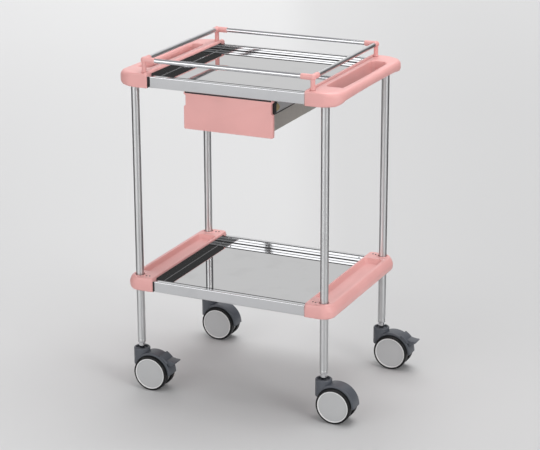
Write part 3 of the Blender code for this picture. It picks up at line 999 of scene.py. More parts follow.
def rounded_rectangle(x0: float, x1: float, half_y: float, inner: float, outer: float) -> list[Point]:
    """Return a rounded rectangle with evenly matched points, so that two of them can be skinned.

    Args:
        x0: its side by the shelf.
        x1: its outer side.
        half_y: its half length.
        inner: the radius of the corners by the shelf.
        outer: the radius of the outer corners.

    Returns:
        The points in order.
    """
    corners = [
        arc((x1 - outer, half_y - outer), outer, 0, 90, CORNER_STEPS),
        arc((x0 + inner, half_y - inner), inner, 90, 180, CORNER_STEPS),
        arc((x0 + inner, inner - half_y), inner, 180, 270, CORNER_STEPS),
        arc((x1 - outer, outer - half_y), outer, 270, 360, CORNER_STEPS),
    ]
    points = []
    for here, after in zip(corners, corners[1:] + corners[:1]):
        (x, y), (next_x, next_y) = here[-1], after[0]
        shares = [k / SIDE_STEPS for k in range(1, SIDE_STEPS)]
        points += here + [(x + t * (next_x - x), y + t * (next_y - y)) for t in shares]
    return points


@dataclass
class UpperHandle:
    """A moulded upper end: blocks round the posts, a finger slot, a round grip and a bead by the shelf."""

    slot_in: float = 0.0275
    slot_out: float = 0.0690
    slot_half_y: float = 0.1630
    slot_corner: float = 0.0130
    outer_corner: float = 0.0460
    inner_corner: float = 0.0030
    edge: float = 0.0042
    corner_edge: float = 0.0145
    corner_under: float = 0.0100
    grip_edge: float = 0.0128
    grip_drop: float = 0.0015
    grip_lift: float = 0.0100
    bead_radius: float = 0.0062
    bead_rise: float = 0.0036
    groove_radius: float = 0.0016
    slot_edge: float = 0.0025
    under_edge: float = 0.0015
    post_gap: float = 0.0003

    def section(self, inner: Point, outer: Point, low: float, high: float, grip: float,
                bend: float) -> Ring:
        """Return the section between the slot's wall and the outside.

        Args:
            inner: the point on the slot's outline.
            outer: the matching point on the outer outline.
            low: the handle's lowest height.
            high: its highest.
            grip: 0 at the blocks and 1 along the round grip.
            bend: 0 by the shelf and 1 round the outer corners.

        Returns:
            The section's points.
        """
        low += grip * self.grip_lift
        high -= grip * self.grip_drop
        corner = self.edge + bend * (self.corner_edge - self.edge)
        round_out = corner + grip * (self.grip_edge - corner)
        round_in = self.slot_edge + grip * (self.grip_edge - self.slot_edge)
        across = Vector(outer) - Vector(inner)
        width = across.length
        across.normalize()
        thicker = grip * (self.grip_edge - self.under_edge)
        under = self.under_edge + thicker
        below = self.under_edge + max(thicker, bend * (self.corner_under - self.under_edge))
        flat = arc((width - below, low + below), below, 270, 360, 6)
        flat += arc((width - round_out, high - round_out), round_out, 0, 90, 8)
        flat += arc((round_in, high - round_in), round_in, 90, 180, 6)
        flat += arc((under, low + under), under, 180, 270, 6)
        return [(inner[0] + across.x * s, inner[1] + across.y * s, z) for s, z in flat]

    def build(self) -> None:
        """Make both handles."""
        for side in Side:
            node = "upper_handle_" + side.label
            low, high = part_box(node)
            near = min(abs(low.x - CENTRE_X), abs(high.x - CENTRE_X))
            far = max(abs(low.x - CENTRE_X), abs(high.x - CENTRE_X))
            half_y = high.y
            slot = rounded_rectangle(near + self.slot_in, near + self.slot_out, self.slot_half_y,
                                     self.slot_corner, self.slot_corner)
            body = rounded_rectangle(near, far, half_y, self.inner_corner, self.outer_corner)
            rings = []
            for inner, outer in zip(slot, body):
                outside = smooth_step((outer[0] - near - self.slot_out + 0.010) / 0.030)
                along = smooth_step((half_y - abs(outer[1])) / 0.050)
                bend = smooth_step((outer[0] - near - self.slot_out + 0.032) / 0.034)
                rings.append(self.section(inner, outer, low.z, high.z, outside * along, bend))
            radius = half_width("post_front_left") + self.post_gap
            top = span("post_front_left", 2)[1]
            sockets = [lathe([(0, low.z - 0.01), (radius, low.z - 0.01), (radius, top), (0, top)], 40)
                       .moved(POST_X, sign * POST_Y) for sign in (-1, 1)]
            groove = rounded_bar(half_y - 0.004, self.groove_radius, "y", 16, 4).moved(
                near + 2 * self.bead_radius + 0.0008, 0.0, high.z + 0.0002)
            block = carved(loft(rings, closed=True), [*sockets, groove])
            bead = rounded_bar(half_y - 0.0015, self.bead_radius, "y").moved(
                near + self.bead_radius, 0.0, high.z + self.bead_rise - self.bead_radius)
            mesh = sided(joined([block, bead.mesh()]), side)
            piece("end_handle_" + side.label, mesh, PINK, nodes=(node,), angle=48)


# Contours of a lower end tray: inner x, outer x, half length, inner radius, outer radius, height.
TRAY_STATIONS = (
    (0.2290, 0.3045, 0.2345, 0.005, 0.032, 0.2930),
    (0.2290, 0.3088, 0.2362, 0.006, 0.034, 0.2985),
    (0.2290, 0.3100, 0.2365, 0.006, 0.034, 0.3120),
    (0.2290, 0.3060, 0.2350, 0.007, 0.033, 0.3235),
    (0.2300, 0.3016, 0.2332, 0.008, 0.031, 0.3294),
    (0.2318, 0.2982, 0.2312, 0.009, 0.030, 0.3310),
    (0.2338, 0.2925, 0.1795, 0.013, 0.015, 0.3310),
    (0.2358, 0.2908, 0.1775, 0.012, 0.014, 0.3302),
    (0.2430, 0.2862, 0.1705, 0.010, 0.012, 0.3205),
    (0.2450, 0.2846, 0.1690, 0.009, 0.011, 0.3184),
    (0.2478, 0.2815, 0.1660, 0.008, 0.010, 0.3175),
)
TRAY_REACH = 0.3100


@dataclass
class LowerTray:
    """A moulded lower end: a bulged rim round a long recess, with a raised collar round each post."""

    smoothing: int = 4
    collar_width: float = 0.0062
    collar_rise: float = 0.0016
    collar_edge: float = 0.0010
    gap: float = 0.0020
    post_gap: float = 0.0004
    seat_depth: float = 0.006
    mark_in: float = 0.0270
    mark_apart: float = 0.0044
    mark_radius: float = 0.0024

    def contours(self, scale: float) -> list[Ring]:
        """Return the stations with smooth ones between them.

        Args:
            scale: how far the frame's tray stands out, against the stations' own.

        Returns:
            One ring for each station.
        """
        last = len(TRAY_STATIONS) - 1
        rings = []
        for k in range(last):
            rows = [TRAY_STATIONS[min(max(n, 0), last)] for n in (k - 1, k, k + 1, k + 2)]
            for step in range(self.smoothing + (k == last - 1)):
                t = step / self.smoothing
                x0, x1, half_y, inner, outer, z = [self.between(*values, t) for values in zip(*rows)]
                outline = rounded_rectangle(x0, x1 * scale, half_y, inner, outer)
                rings.append([(x, y, z) for x, y in outline])
        return rings

    @staticmethod
    def between(p: float, q: float, r: float, s: float, t: float) -> float:
        """Return a point on a gentle curve from q to r, with p before and s after them."""
        m, n = (r - p) / 4, (s - q) / 4
        return ((2 * t**3 - 3 * t**2 + 1) * q + (t**3 - 2 * t**2 + t) * m
                + (3 * t**2 - 2 * t**3) * r + (t**3 - t**2) * n)

    def build(self, screws: PatternGraph) -> None:
        """Make both trays, and near-black heads in their tops that paint the shade of two small recesses
        inboard of each post.

        Args:
            screws: the tree that sets screws.
        """
        post_radius = half_width("post_front_left")
        bore = post_radius + self.gap
        for side in Side:
            node = "lower_tray_" + side.label
            low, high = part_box(node)
            far = max(abs(low.x - CENTRE_X), abs(high.x - CENTRE_X))
            cutters, collars = [], []
            for sign in (-1, 1):
                for radius, start in ((post_radius + self.post_gap, low.z - 0.01),
                                      (bore, high.z - self.seat_depth)):
                    hole = [(0, start), (radius, start), (radius, high.z + 0.01), (0, high.z + 0.01)]
                    cutters.append(lathe(hole, 40).moved(POST_X, sign * POST_Y))
                collars.append(self.collar(bore, high.z).moved(POST_X, sign * POST_Y).mesh())
            block = carved(loft(self.contours(far / TRAY_REACH)), cutters)
            mesh = sided(joined([block, *collars]), side)
            piece("end_tray_" + side.label, mesh, PINK, nodes=(node,), angle=48)
            # Painted shade: near-black heads stand where small recesses inboard of each post fall in shade.
            places = [(CENTRE_X + side.value * (POST_X - self.mark_in + k * self.mark_apart),
                       sign * (POST_Y + 0.004 - sign * 0.001 * k), high.z + 0.0002)
                      for sign in (-1, 1) for k in (-1, 1)]
            marks = screws.run({"Radius": self.mark_radius, "Axis": (0.0, 0.0, 1.0),
                                "Material": BLACK_STOP_AND_PAINTED_SHADE.material()}, places)
            piece("tray_plugs_" + side.label, marks, BLACK_STOP_AND_PAINTED_SHADE)

    def collar(self, bore: float, top: float) -> Solid:
        """Return the raised ring round a post.

        Args:
            bore: the ring's inner radius.
            top: the height of the rim that it stands on.

        Returns:
            The ring about the Z axis.
        """
        rise, width, edge = self.collar_rise, self.collar_width, self.collar_edge
        profile = [(bore, top - 0.003), (bore, top + rise * 0.6)]
        profile += arc((bore + edge, top + rise - edge), edge, 180, 90, 4)
        profile += [(bore + width * 0.45, top + rise), (bore + width * 0.8, top + rise * 0.45),
                    (bore + width, top - 0.0002), (bore + width, top - 0.003)]
        return lathe(profile, 48)


@dataclass
class Shelves:
    """Two shelves: mirror plates between bent steel rails."""

    wall: float = 0.0012
    rail_width: float = 0.0160
    foot: float = 0.0120
    ledge: float = 0.0080
    bend: float = 0.0020
    seam: float = 0.0017
    plate_thick: float = 0.0015
    plate_bend: float = 0.0024
    screw_in: float = 0.072
    screw_down: float = 0.0048
    # How deep the painted gap shadows at the rails' ends reach.
    gap_shadow_depth: dict[str, float] = field(default_factory=lambda: {"upper": 0.0070, "lower": 0.0044})
    flange_rise: dict[str, float] = field(default_factory=lambda: {"upper": 0.0062, "lower": 0.0064})

    def rail_path(self, height: float, ledge_z: float) -> list[Point]:
        """Return the middle line of a rail's sheet, from its lower lip to its ledge.

        Args:
            height: the rail's height.
            ledge_z: how far below the rail's top the ledge's upper side is.

        Returns:
            Points of (distance inwards, height below the top).
        """
        half = self.wall / 2
        points = [
            (self.foot, half - height), (half, half - height), (half, -half),
            (self.rail_width - half, -half), (self.rail_width - half, -ledge_z - half),
            (self.rail_width + self.ledge, -ledge_z - half),
        ]
        return rounded_path(points, self.bend)

    @staticmethod
    def sink(level: Level) -> float:
        """Return how far the plate lies under its nominal place; the upper one rests on the hangers."""
        return 0.0030 if level is Level.LOWER else 0.0

    def build(self, screws: PatternGraph) -> None:
        """Make the rails and plates, and the screws that hold them.

        Args:
            screws: the tree that sets screws.
        """
        for level in Level:
            plate = level.value + "_shelf_plate"
            low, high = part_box(plate)
            for face in Face:
                node = f"{level.value}_rail_{face.label}"
                rail_low, rail_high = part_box(node)
                top = rail_high.z
                outer = rail_low.y if face is Face.FRONT else rail_high.y
                path = self.rail_path(top - rail_low.z, top - low.z + 0.0003 + self.sink(level))
                outline = [(outer - face.value * d, top + h) for d, h in sheet_outline(path, self.wall)]
                mesh = prism(outline, "x", rail_low.x, rail_high.x).mesh()
                piece(f"{level.value}_{face.label}_rail", mesh, STEEL[Grain.X], nodes=(node,), angle=30)
                inner = outer - face.value * self.rail_width
                self.seams(level, face, inner, top, low.z - self.sink(level), rail_low.x, rail_high.x)
                self.fasten(screws, f"{level.value}_{face.label}_rail_screws", level, inner, face)
            self.plate(level, plate, low, high)
            self.gaskets(level)

    def fasten(self, screws: PatternGraph, name: str, level: Level, inner: float, face: Face) -> None:
        """Set the screws in a rail's inner wall.

        Args:
            screws: the tree that sets screws.
            name: the group's name.
            level: which shelf.
            inner: the Y of the rail's inner wall.
            face: which long side.
        """
        top = span(f"{level.value}_rail_front", 2)[1]
        reach = POST_X - self.screw_in
        points = [(CENTRE_X + sign * reach, inner, top - self.screw_down) for sign in (-1, 1)]
        axis = (0.0, -float(face.value), 0.0)
        mesh = screws.run({"Radius": 0.0021, "Axis": axis, "Material": SCREW.material()}, points)
        piece(name, mesh, SCREW)

    def seams(self, level: Level, face: Face, inner: float, top: float, floor: float, left: float,
              right: float) -> None:
        """Make near-black strips on a rail's inner wall as painted shade: along its top edge, across its
        middle and along the plate.

        Args:
            level: which shelf.
            face: which long side.
            inner: the Y of the inner wall.
            top: the rail's top.
            floor: the plate's underside.
            left: the rail's left end.
            right: its right end.
        """
        # Painted shade: thin near-black strips where the rail's bends and the gap at the plate fall in
        # shade.
        y0, y1 = sorted((inner - face.value * 0.0004, inner + face.value * 0.0001))
        middle_z = (top + floor) / 2 + 0.0006
        half = self.seam / 2
        strips = slab(left + 0.001, right - 0.001, y0, y1, middle_z - half, middle_z + half)
        low = floor + 0.0012
        strips += slab(left + 0.002, right - 0.002, y0, y1, low, low + self.seam * 1.4)
        edge0, edge1 = sorted((inner - face.value * 0.0004, inner + face.value * 0.0026))
        strips += slab(left + 0.001, right - 0.001, edge0, edge1, top - 0.0014, top + 0.0004)
        piece(f"{level.value}_{face.label}_seams", strips.mesh(), BLACK_STOP_AND_PAINTED_SHADE)

    def gaskets(self, level: Level) -> None:
        """Make near-black strips between the rails' ends and the moulded blocks, painted shadow in the gaps
        there.

        Args:
            level: which shelf.
        """
        low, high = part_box(level.value + "_rail_front")
        # Painted shadow: a thin dark box in each gap at a rail's end.
        strips = Solid()
        for x in (-1, 1):
            for y in (-1, 1):
                x0, x1 = sorted((x * (high.x - CENTRE_X - 0.0002), x * (high.x - CENTRE_X - 0.0011)))
                y0, y1 = sorted((y * (-low.y + 0.0002), y * (-low.y + self.gap_shadow_depth[level.value])))
                strips += slab(x0, x1, y0, y1, low.z + 0.0008, high.z - 0.0004)
        mesh = bevelled(strips.moved(CENTRE_X).mesh(), 0.0003, 2)
        piece(level.value + "_end_gaskets", mesh, BLACK_STOP_AND_PAINTED_SHADE)

    def plate(self, level: Level, node: str, low: Vector, high: Vector) -> None:
        """Make one mirror plate with its two ends turned up.

        Args:
            level: which shelf.
            node: the plate's CAD node.
            low: the lowest corner of that node's box.
            high: its highest corner.
        """
        half = self.plate_thick / 2
        rim = high.z + self.flange_rise[level.value]
        floor = low.z + half - self.sink(level)
        points = [(low.x + half, rim), (low.x + half, floor), (high.x - half, floor), (high.x - half, rim)]
        outline = sheet_outline(rounded_path(points, self.plate_bend), self.plate_thick)
        mesh = prism(outline, "y", low.y, high.y).mesh()
        piece(level.value + "_mirror_plate", mesh, MIRROR, nodes=(node,), angle=30)


@dataclass
class GuardRail:
    """Corner fittings on the handles, and the rods between them."""

    post_radius: float = 0.0062
    foot_radius: float = 0.0076
    arm_radius: float = 0.0078
    head_radius: float = 0.0087
    voxel: float = 0.00055

    def fitting(self, corner: Corner) -> bpy.types.Mesh:
        """Return a corner fitting: post, flared foot, ball head and two arms, blended into one moulding.

        Args:
            corner: which corner of the trolley.

        Returns:
            The mesh in place.
        """
        low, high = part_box("guard_fitting_" + corner.label)
        long_low, long_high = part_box("guard_rod_" + ("front" if corner.value[1] < 0 else "rear"))
        side_rod = "guard_rod_" + Side(corner.value[0]).label
        side_low, side_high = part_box(side_rod)
        x, y, z = middle(side_rod).x, (long_low.y + long_high.y) / 2, (side_low.z + side_high.z) / 2
        foot = low.z
        post = [(0, foot), (self.foot_radius, foot), (self.foot_radius, foot + 0.0016),
                (self.post_radius, foot + 0.0042), (self.post_radius, z), (0, z)]
        solid = lathe(post, 32).moved(x, y)
        turns = [math.radians(a) for a in range(-80, 81, 10)]
        ball = [(self.head_radius * math.cos(a), self.head_radius * math.sin(a)) for a in turns]
        solid += lathe([(0, -self.head_radius), *ball, (0, self.head_radius)], 32).moved(x, y, z)
        reach_x = high.x - x if corner.value[0] < 0 else x - low.x
        reach_y = high.y - y if corner.value[1] < 0 else y - low.y
        for axis, reach, sign in (("x", reach_x, -corner.value[0]), ("y", reach_y, -corner.value[1])):
            arm = [(0, 0), (self.arm_radius, 0), (self.arm_radius, reach - 0.0006),
                   (self.arm_radius - 0.0006, reach), (0, reach)]
            solid += lathe([(r, sign * h) for r, h in arm], 32, axis).moved(x, y, z)
        melt = {"mode": "VOXEL", "voxel_size": self.voxel, "use_smooth_shade": True}
        relax = {"factor": 0.5, "iterations": 5}
        return worked(solid.mesh(), [("REMESH", melt), ("SMOOTH", relax)])

    def build(self, tubes: PatternGraph) -> None:
        """Make the fittings and rods.

        Args:
            tubes: the tree that sweeps a tube.
        """
        for corner in Corner:
            node = "guard_fitting_" + corner.label
            piece("guard_corner_" + corner.label, self.fitting(corner), PINK, nodes=(node,), angle=60)
        for name, axis, finish in (("front", 0, STEEL[Grain.X]), ("rear", 0, STEEL[Grain.X]),
                                   ("left", 1, SIDE_ROD), ("right", 1, SIDE_ROD)):
            node = "guard_rod_" + name
            low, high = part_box(node)
            start, end = (low + high) / 2, (low + high) / 2
            start[axis], end[axis] = low[axis], high[axis]
            mesh = tubes.run({
                "Start": start, "End": end, "Radius": (high.z - low.z) / 2, "Groove Place": 0.0,
                "Groove Width": 0.001, "Groove Depth": 0.0, "Stations": 12, "Segments": 32,
                "Material": finish.material(),
            })
            piece("rail_rod_" + name, mesh, finish, nodes=(node,), angle=50)


# A slide catch's outline: Y from the runner's front end, Z from its middle.
CATCH_OUTLINE = ((0.0050, -0.0130), (0.0260, -0.0115), (0.0340, -0.0050), (0.0260, 0.0020),
                 (0.0160, 0.0100), (0.0050, 0.0100))


@dataclass
class Drawer:
    """The drawer: its moulded front, its sheet box and the telescopic slides."""

    front_edge: float = 0.0014
    front_corner: float = 0.0035
    notch: float = 0.0052
    sheet: float = 0.0012
    hem: float = 0.0090
    box_bend: float = 0.0022
    slide_bend: float = 0.0014
    hanger_depth: float = 0.0140

    def build(self, screws: PatternGraph) -> None:
        """Make the drawer's pieces.

        Args:
            screws: the tree that sets screws.
        """
        self.front()
        self.box(screws)
        for side in Side:
            self.slides(side, screws)
            self.stop(side)

    def front(self) -> None:
        """Make the front panel with its notch for each slide, and a dark strip along its top as a painted
        shadow under the rail.
        """
        low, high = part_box("drawer_front")
        half = (high.x - low.x) / 2
        centre = (high.x + low.x) / 2
        notch, corner = self.notch, self.front_corner
        notch_low, notch_high = high.z - 0.0400, high.z - 0.0070
        right = arc((half - corner, low.z + corner), corner, 270, 360, 5)
        right += [(half, notch_low), (half - notch, notch_low + corner),
                  (half - notch, notch_high - corner), (half, notch_high)]
        right += arc((half - corner, high.z - corner), corner, 0, 90, 5)
        outline = right + [(-x, z) for x, z in reversed(right)]
        mesh = prism([(x + centre, z) for x, z in outline], "y", low.y, high.y).mesh()
        piece("drawer_panel", bevelled(mesh, self.front_edge), PINK, "drawer", ("drawer_front",), 40)
        # Painted shadow: a near-black strip on the panel's top edge, where the rail above shades it.
        gap_shadow = slab(centre - half + 0.004, centre + half - 0.004, low.y - 0.0004, low.y + 0.0012,
                    high.z - 0.0042, high.z - 0.0002)
        piece("drawer_top_seal", bevelled(gap_shadow.mesh(), 0.0003, 2), BLACK_STOP_AND_PAINTED_SHADE, "drawer")

    def box(self, screws: PatternGraph) -> None:
        """Make the sheet box: a bent tray with hemmed sides, two end walls and their fixings.

        Args:
            screws: the tree that sets screws.
        """
        low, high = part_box("drawer_box")
        t = self.sheet
        half = t / 2
        x0, x1, rim = low.x + half, high.x - half, high.z - half
        hem = high.z - self.hem
        bent = rounded_path([(x0, rim), (x0, low.z + half), (x1, low.z + half), (x1, rim)], self.box_bend)
        bent = [(x0 + t, hem), (x0 + t, rim), *bent, (x1 - t, rim), (x1 - t, hem)]
        solid = prism(sheet_outline(bent, t * 0.9), "y", low.y + t, high.y - t)
        for y in (low.y, high.y - t):
            solid += slab(low.x + 0.0002, high.x - 0.0002, y, y + t, low.z + 0.0002, high.z - 0.0012)
            lip = y + t if y == low.y else y - 0.006
            solid += slab(low.x + 0.003, high.x - 0.003, lip, lip + 0.006, high.z - 0.0024, high.z - 0.0012)
        piece("drawer_tray", solid.mesh(), SHEET, "drawer", ("drawer_box",), 30)
        places = [(x, low.y + 0.0002 + t, z) for x in (low.x + 0.02, high.x - 0.02)
                  for z in (low.z + 0.016, high.z - 0.040)]
        mesh = screws.run({"Radius": 0.0024, "Axis": (0.0, 1.0, 0.0), "Material": ZINC.material()}, places)
        piece("drawer_front_screws", mesh, ZINC, "drawer")

    def channel(self, web: float, lip: float, middle_z: float, half_height: float) -> list[Point]:
        """Return the sheet outline of a slide member with rounded races.

        Args:
            web: the X of its upright wall.
            lip: the X of its two lips.
            middle_z: the height of its middle.
            half_height: half of its height.

        Returns:
            The closed outline in X and Z.
        """
        half = self.sheet / 2
        wall = web + (half if lip > web else -half)
        low, high = middle_z - half_height + half, middle_z + half_height - half
        points = [(lip, low), (wall, low), (wall, high), (lip, high)]
        return sheet_outline(rounded_path(points, self.slide_bend), self.sheet)

    def slides(self, side: Side, screws: PatternGraph) -> None:
        """Make one telescopic slide.

        Args:
            side: which side of the drawer.
            screws: the tree that sets screws.
        """
        middle_z = middle("slide_inner_right").z
        bodies = {"outer": "root", "middle": "slide_middle_" + side.label, "inner": "drawer"}
        for member, body in bodies.items():
            low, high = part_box(f"slide_{member}_right")
            near, far = low.x - CENTRE_X, high.x - CENTRE_X
            if member == "outer":
                web = far - self.hanger_depth
                solid = prism(self.channel(web, near, middle_z, middle_z - low.z), "y", low.y, high.y)
                ledge = high.z - self.sheet / 2
                hanger = rounded_path([(web + 0.0007, middle_z), (web + 0.0007, ledge), (far, ledge)],
                                      self.box_bend)
                solid += prism(sheet_outline(hanger, self.sheet), "y", low.y + 0.014, high.y)
            else:
                web, lip = (near, far) if member == "inner" else (far, near)
                solid = prism(self.channel(web, lip, middle_z, (high.z - low.z) / 2), "y", low.y, high.y)
            mesh = sided(solid.mesh(), side)
            node = f"slide_{member}_{side.label}"
            piece(f"{member}_runner_{side.label}", mesh, ZINC, body, (node,), 30)
        low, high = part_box("slide_inner_right")
        x = CENTRE_X + side.value * (low.x - CENTRE_X + self.sheet)
        places = [(x, low.y + 0.03 + k * (high.y - low.y - 0.06) / 3, middle_z) for k in range(4)]
        axis = (float(side.value), 0.0, 0.0)
        mesh = screws.run({"Radius": 0.0026, "Axis": axis, "Material": SCREW.material()}, places)
        piece("runner_screws_" + side.label, mesh, SCREW, "drawer")

    def stop(self, side: Side) -> None:
        """Make the black end stop of a slide, its brass-coloured catch and a dark strip on its lower edge,
        a painted shadow.

        Args:
            side: which side of the drawer.
        """
        low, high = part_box("slide_outer_right")
        middle_z = middle("slide_inner_right").z
        half_height = middle_z - low.z
        under, over = middle_z - half_height, middle_z + half_height
        near = low.x - CENTRE_X
        web = high.x - CENTRE_X - self.hanger_depth
        outline = [(near + 0.0070, under - 0.0006), (web + 0.0026, under - 0.0006),
                   (web + 0.0046, under + 0.004), (web + 0.0046, middle_z + 0.004),
                   (web + 0.0066, middle_z + 0.009), (web + 0.0066, over + 0.002),
                   (web - 0.0010, over + 0.0050), (near + 0.0070, over + 0.0015)]
        shell = prism(outline, "y", low.y - 0.0010, low.y + 0.0120)
        window = slab(0, 0.004, 0, 0.007, 0, 0.016).moved(web + 0.0005, low.y + 0.001, middle_z - 0.011)
        mesh = bevelled(carved(shell, [window]), 0.0006, 2)
        piece("slide_stop_" + side.label, sided(mesh, side), BLACK_STOP_AND_PAINTED_SHADE)
        catch = [(low.y + y, middle_z + z) for y, z in CATCH_OUTLINE]
        mesh = prism(catch, "x", web + 0.0026, web + 0.0044).mesh()
        piece("slide_catch_" + side.label, sided(bevelled(mesh, 0.0003, 2), side), BRASS)
        # Painted shadow: a near-black strip along the slide's lower edge.
        line = [(web - 0.0002, under - 0.0012), (web + 0.0016, under - 0.0012),
                (web + 0.0016, under + 0.0012), (web + 0.0008, under + 0.0012),
                (web + 0.0008, under), (web - 0.0002, under)]
        mesh = prism(line, "y", low.y + 0.010, high.y - 0.002).mesh()
        piece("slide_edge_" + side.label, sided(mesh, side), BLACK_STOP_AND_PAINTED_SHADE)


# A wheel's disc and its rim bead, as radius and distance from the caster's middle plane; the rim is
# coloured paler as a painted highlight.
DISC_PROFILE = ((0.0043, 0.0110), (0.0442, 0.0110), (0.0442, 0.0280), (0.0412, 0.0284), (0.0400, 0.0286),
                (0.0360, 0.0289), (0.0200, 0.0295), (0, 0.0297), (0, 0.0266), (0.0043, 0.0266))
RIM_PROFILE = ((0.0441, 0.0283), (0.0441, 0.0300), (0.0436, 0.0306), (0.0429, 0.0308), (0.0421, 0.0306),
               (0.0414, 0.0300), (0.0411, 0.0288))
# A brake lever's toe pedal, as X and Z from the axle.
PEDAL_OUTLINE = ((0.0540, 0.0262), (0.0600, 0.0270), (0.0740, 0.0368), (0.0745, 0.0386), (0.0734, 0.0402),
                 (0.0640, 0.0405), (0.0490, 0.0430), (0.0440, 0.0410))


@dataclass
class Caster:
    """A twin-wheel swivel caster under one post."""

    corner: Corner
    hood_radius: float = 0.0580
    hood_half_y: float = 0.0215
    hood_edge: float = 0.0026
    web_half_y: float = 0.0090
    web_radius: float = 0.0340
    pocket_radius: float = 0.0515
    pocket_gap: float = 0.0002
    socket_radius: float = 0.0230
    socket_low: float = 0.0680
    socket_high: float = 0.1165
    cup_radius: float = 0.0180
    cup_depth: float = 0.0050
    socket_edge: float = 0.0034
    bore_radius: float = 0.0074
    bore_low: float = 0.0800
    pin_radius: float = 0.0069
    neck_radius: float = 0.0092
    tyre_seat: float = 0.0445
    hood_sweep: Point = (0, 150)
    web_sweep: Point = (1, 149)
    lever_sweep: Point = (34, 62)
    pedal_half_y: float = 0.0165
    ribs: int = 14

    def __post_init__(self) -> None:
        """Take the caster's two axes from the frame."""
        self.label = self.corner.label
        at = POSTS[self.corner]
        self.x, self.y = at.x, at.y
        axle = middle("caster_axle_" + self.label)
        self.trail = axle.x - self.x
        self.axle_z = axle.z
        self.wheel_radius = axle.z

    def build(self, crowns: PatternGraph) -> None:
        """Make the caster's pieces.

        Args:
            crowns: the tree that sets ribs on a circle.
        """
        self.stem()
        self.housing(crowns)
        for face in Face:
            self.wheel(face)
        if "brake_lever_" + self.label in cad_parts:
            self.lever()
        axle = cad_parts["caster_axle_" + self.label]
        axle.data.materials.clear()
        axle.data.materials.append(STEEL[Grain.Y].material())

    def stem(self) -> None:
        """Make the stem: pin, neck, collar and the plug that goes up into the post."""
        low, high = span("caster_stem_" + self.label, 2)
        foot = span("post_" + self.label, 2)[0]
        wide = half_width("post_" + self.label)
        pin, neck = self.pin_radius, self.neck_radius
        profile = [(0, low), (pin, low), (pin, foot - 0.0135), (neck, foot - 0.0130),
                   (neck, foot - 0.0040), (wide - 0.0008, foot - 0.0036), (wide, foot - 0.0028),
                   (wide, foot - 0.0008), (wide - 0.0006, foot - 0.0002), (wide - 0.0022, foot - 0.0001),
                   (wide - 0.0022, high), (0, high)]
        mesh = lathe(profile, 40).moved(self.x, self.y).mesh()
        piece("stem_" + self.label, mesh, STEEL[Grain.Z], nodes=("caster_stem_" + self.label,), angle=30)

    def swept(self, section: list[Point], sweep: Point, steps: int) -> Solid:
        """Sweep a section about the axle line.

        Args:
            section: points of (radius, y).
            sweep: the first and last angle, in degrees from +X upwards.
            steps: how many parts the sweep has.

        Returns:
            The swept solid, beside the caster's axis.
        """
        start, stop = sweep
        rings = []
        for k in range(steps + 1):
            turn = math.radians(start + (stop - start) * k / steps)
            c, s = math.cos(turn), math.sin(turn)
            rings.append([(self.trail + r * c, y, self.axle_z + r * s) for r, y in section])
        return loft(rings)

    @staticmethod
    def band(inner: float, outer: float, half_y: float, edge: float) -> list[Point]:
        """Return the section of a curved cover with its two outer edges rounded.

        Args:
            inner: its inner radius.
            outer: its outer radius.
            half_y: its half width.
            edge: the radius of the rounding.

        Returns:
            Points of (radius, y).
        """
        turns = [math.radians(a) for a in range(0, 91, 15)]
        section = [(inner, -half_y)]
        section += [(outer - edge + edge * math.sin(a), -half_y + edge - edge * math.cos(a)) for a in turns]
        return section + [(r, -y) for r, y in reversed(section)]

    def housing(self, crowns: PatternGraph) -> None:
        """Make the swivel housing: socket, hood and the web between the wheels.

        Args:
            crowns: the tree that sets ribs on a circle.
        """
        body = "caster_" + self.label
        top = self.socket_high
        edge, web_y = self.socket_edge, self.web_half_y
        profile = [(0, self.socket_low), (self.socket_radius, self.socket_low)]
        profile += arc((self.socket_radius - edge, top - edge), edge, 0, 90, 8)
        profile += [(self.cup_radius + 0.0008, top), (self.cup_radius, top - 0.0008),
                    (self.cup_radius, top - self.cup_depth), (self.bore_radius, top - self.cup_depth),
                    (self.bore_radius, self.bore_low), (0, self.bore_low)]
        pockets = []
        for sign in (-1, 1):
            low, high = sorted((sign * web_y, sign * 0.06))
            pocket = [(0, low), (self.pocket_radius, low), (self.pocket_radius, high), (0, high)]
            pockets.append(lathe(pocket, 96, "y").moved(self.trail, 0, self.axle_z))
        socket = carved(lathe(profile, 64), pockets)
        cover = self.band(self.pocket_radius + self.pocket_gap, self.hood_radius, self.hood_half_y,
                          self.hood_edge)
        hood = self.swept(cover, self.hood_sweep, 60)
        web_top = self.hood_radius - 0.002
        web = self.swept([(self.web_radius, -web_y), (web_top, -web_y), (web_top, web_y),
                          (self.web_radius, web_y)], self.web_sweep, 48)
        boss = lathe([(0.0046, -web_y), (self.web_radius, -web_y), (self.web_radius, web_y),
                      (0.0046, web_y)], 64, "y").moved(self.trail, 0, self.axle_z)
        mesh = joined([socket, hood.mesh(), web.mesh(), boss.mesh()])
        mesh.transform(Matrix.Translation((self.x, self.y, 0)))
        piece("swivel_housing_" + self.label, mesh, HOUSING, body, ("caster_housing_" + self.label,), 34)
        ribs = crowns.run({
            "Count": self.ribs, "Radius": self.cup_radius - 0.0016, "Rib": (0.0034, 0.0018, self.cup_depth),
            "Centre": (self.x, self.y, top - self.cup_depth / 2 - 0.0004), "Material": HOUSING.material(),
        })
        piece("socket_ribs_" + self.label, ribs, HOUSING, body)

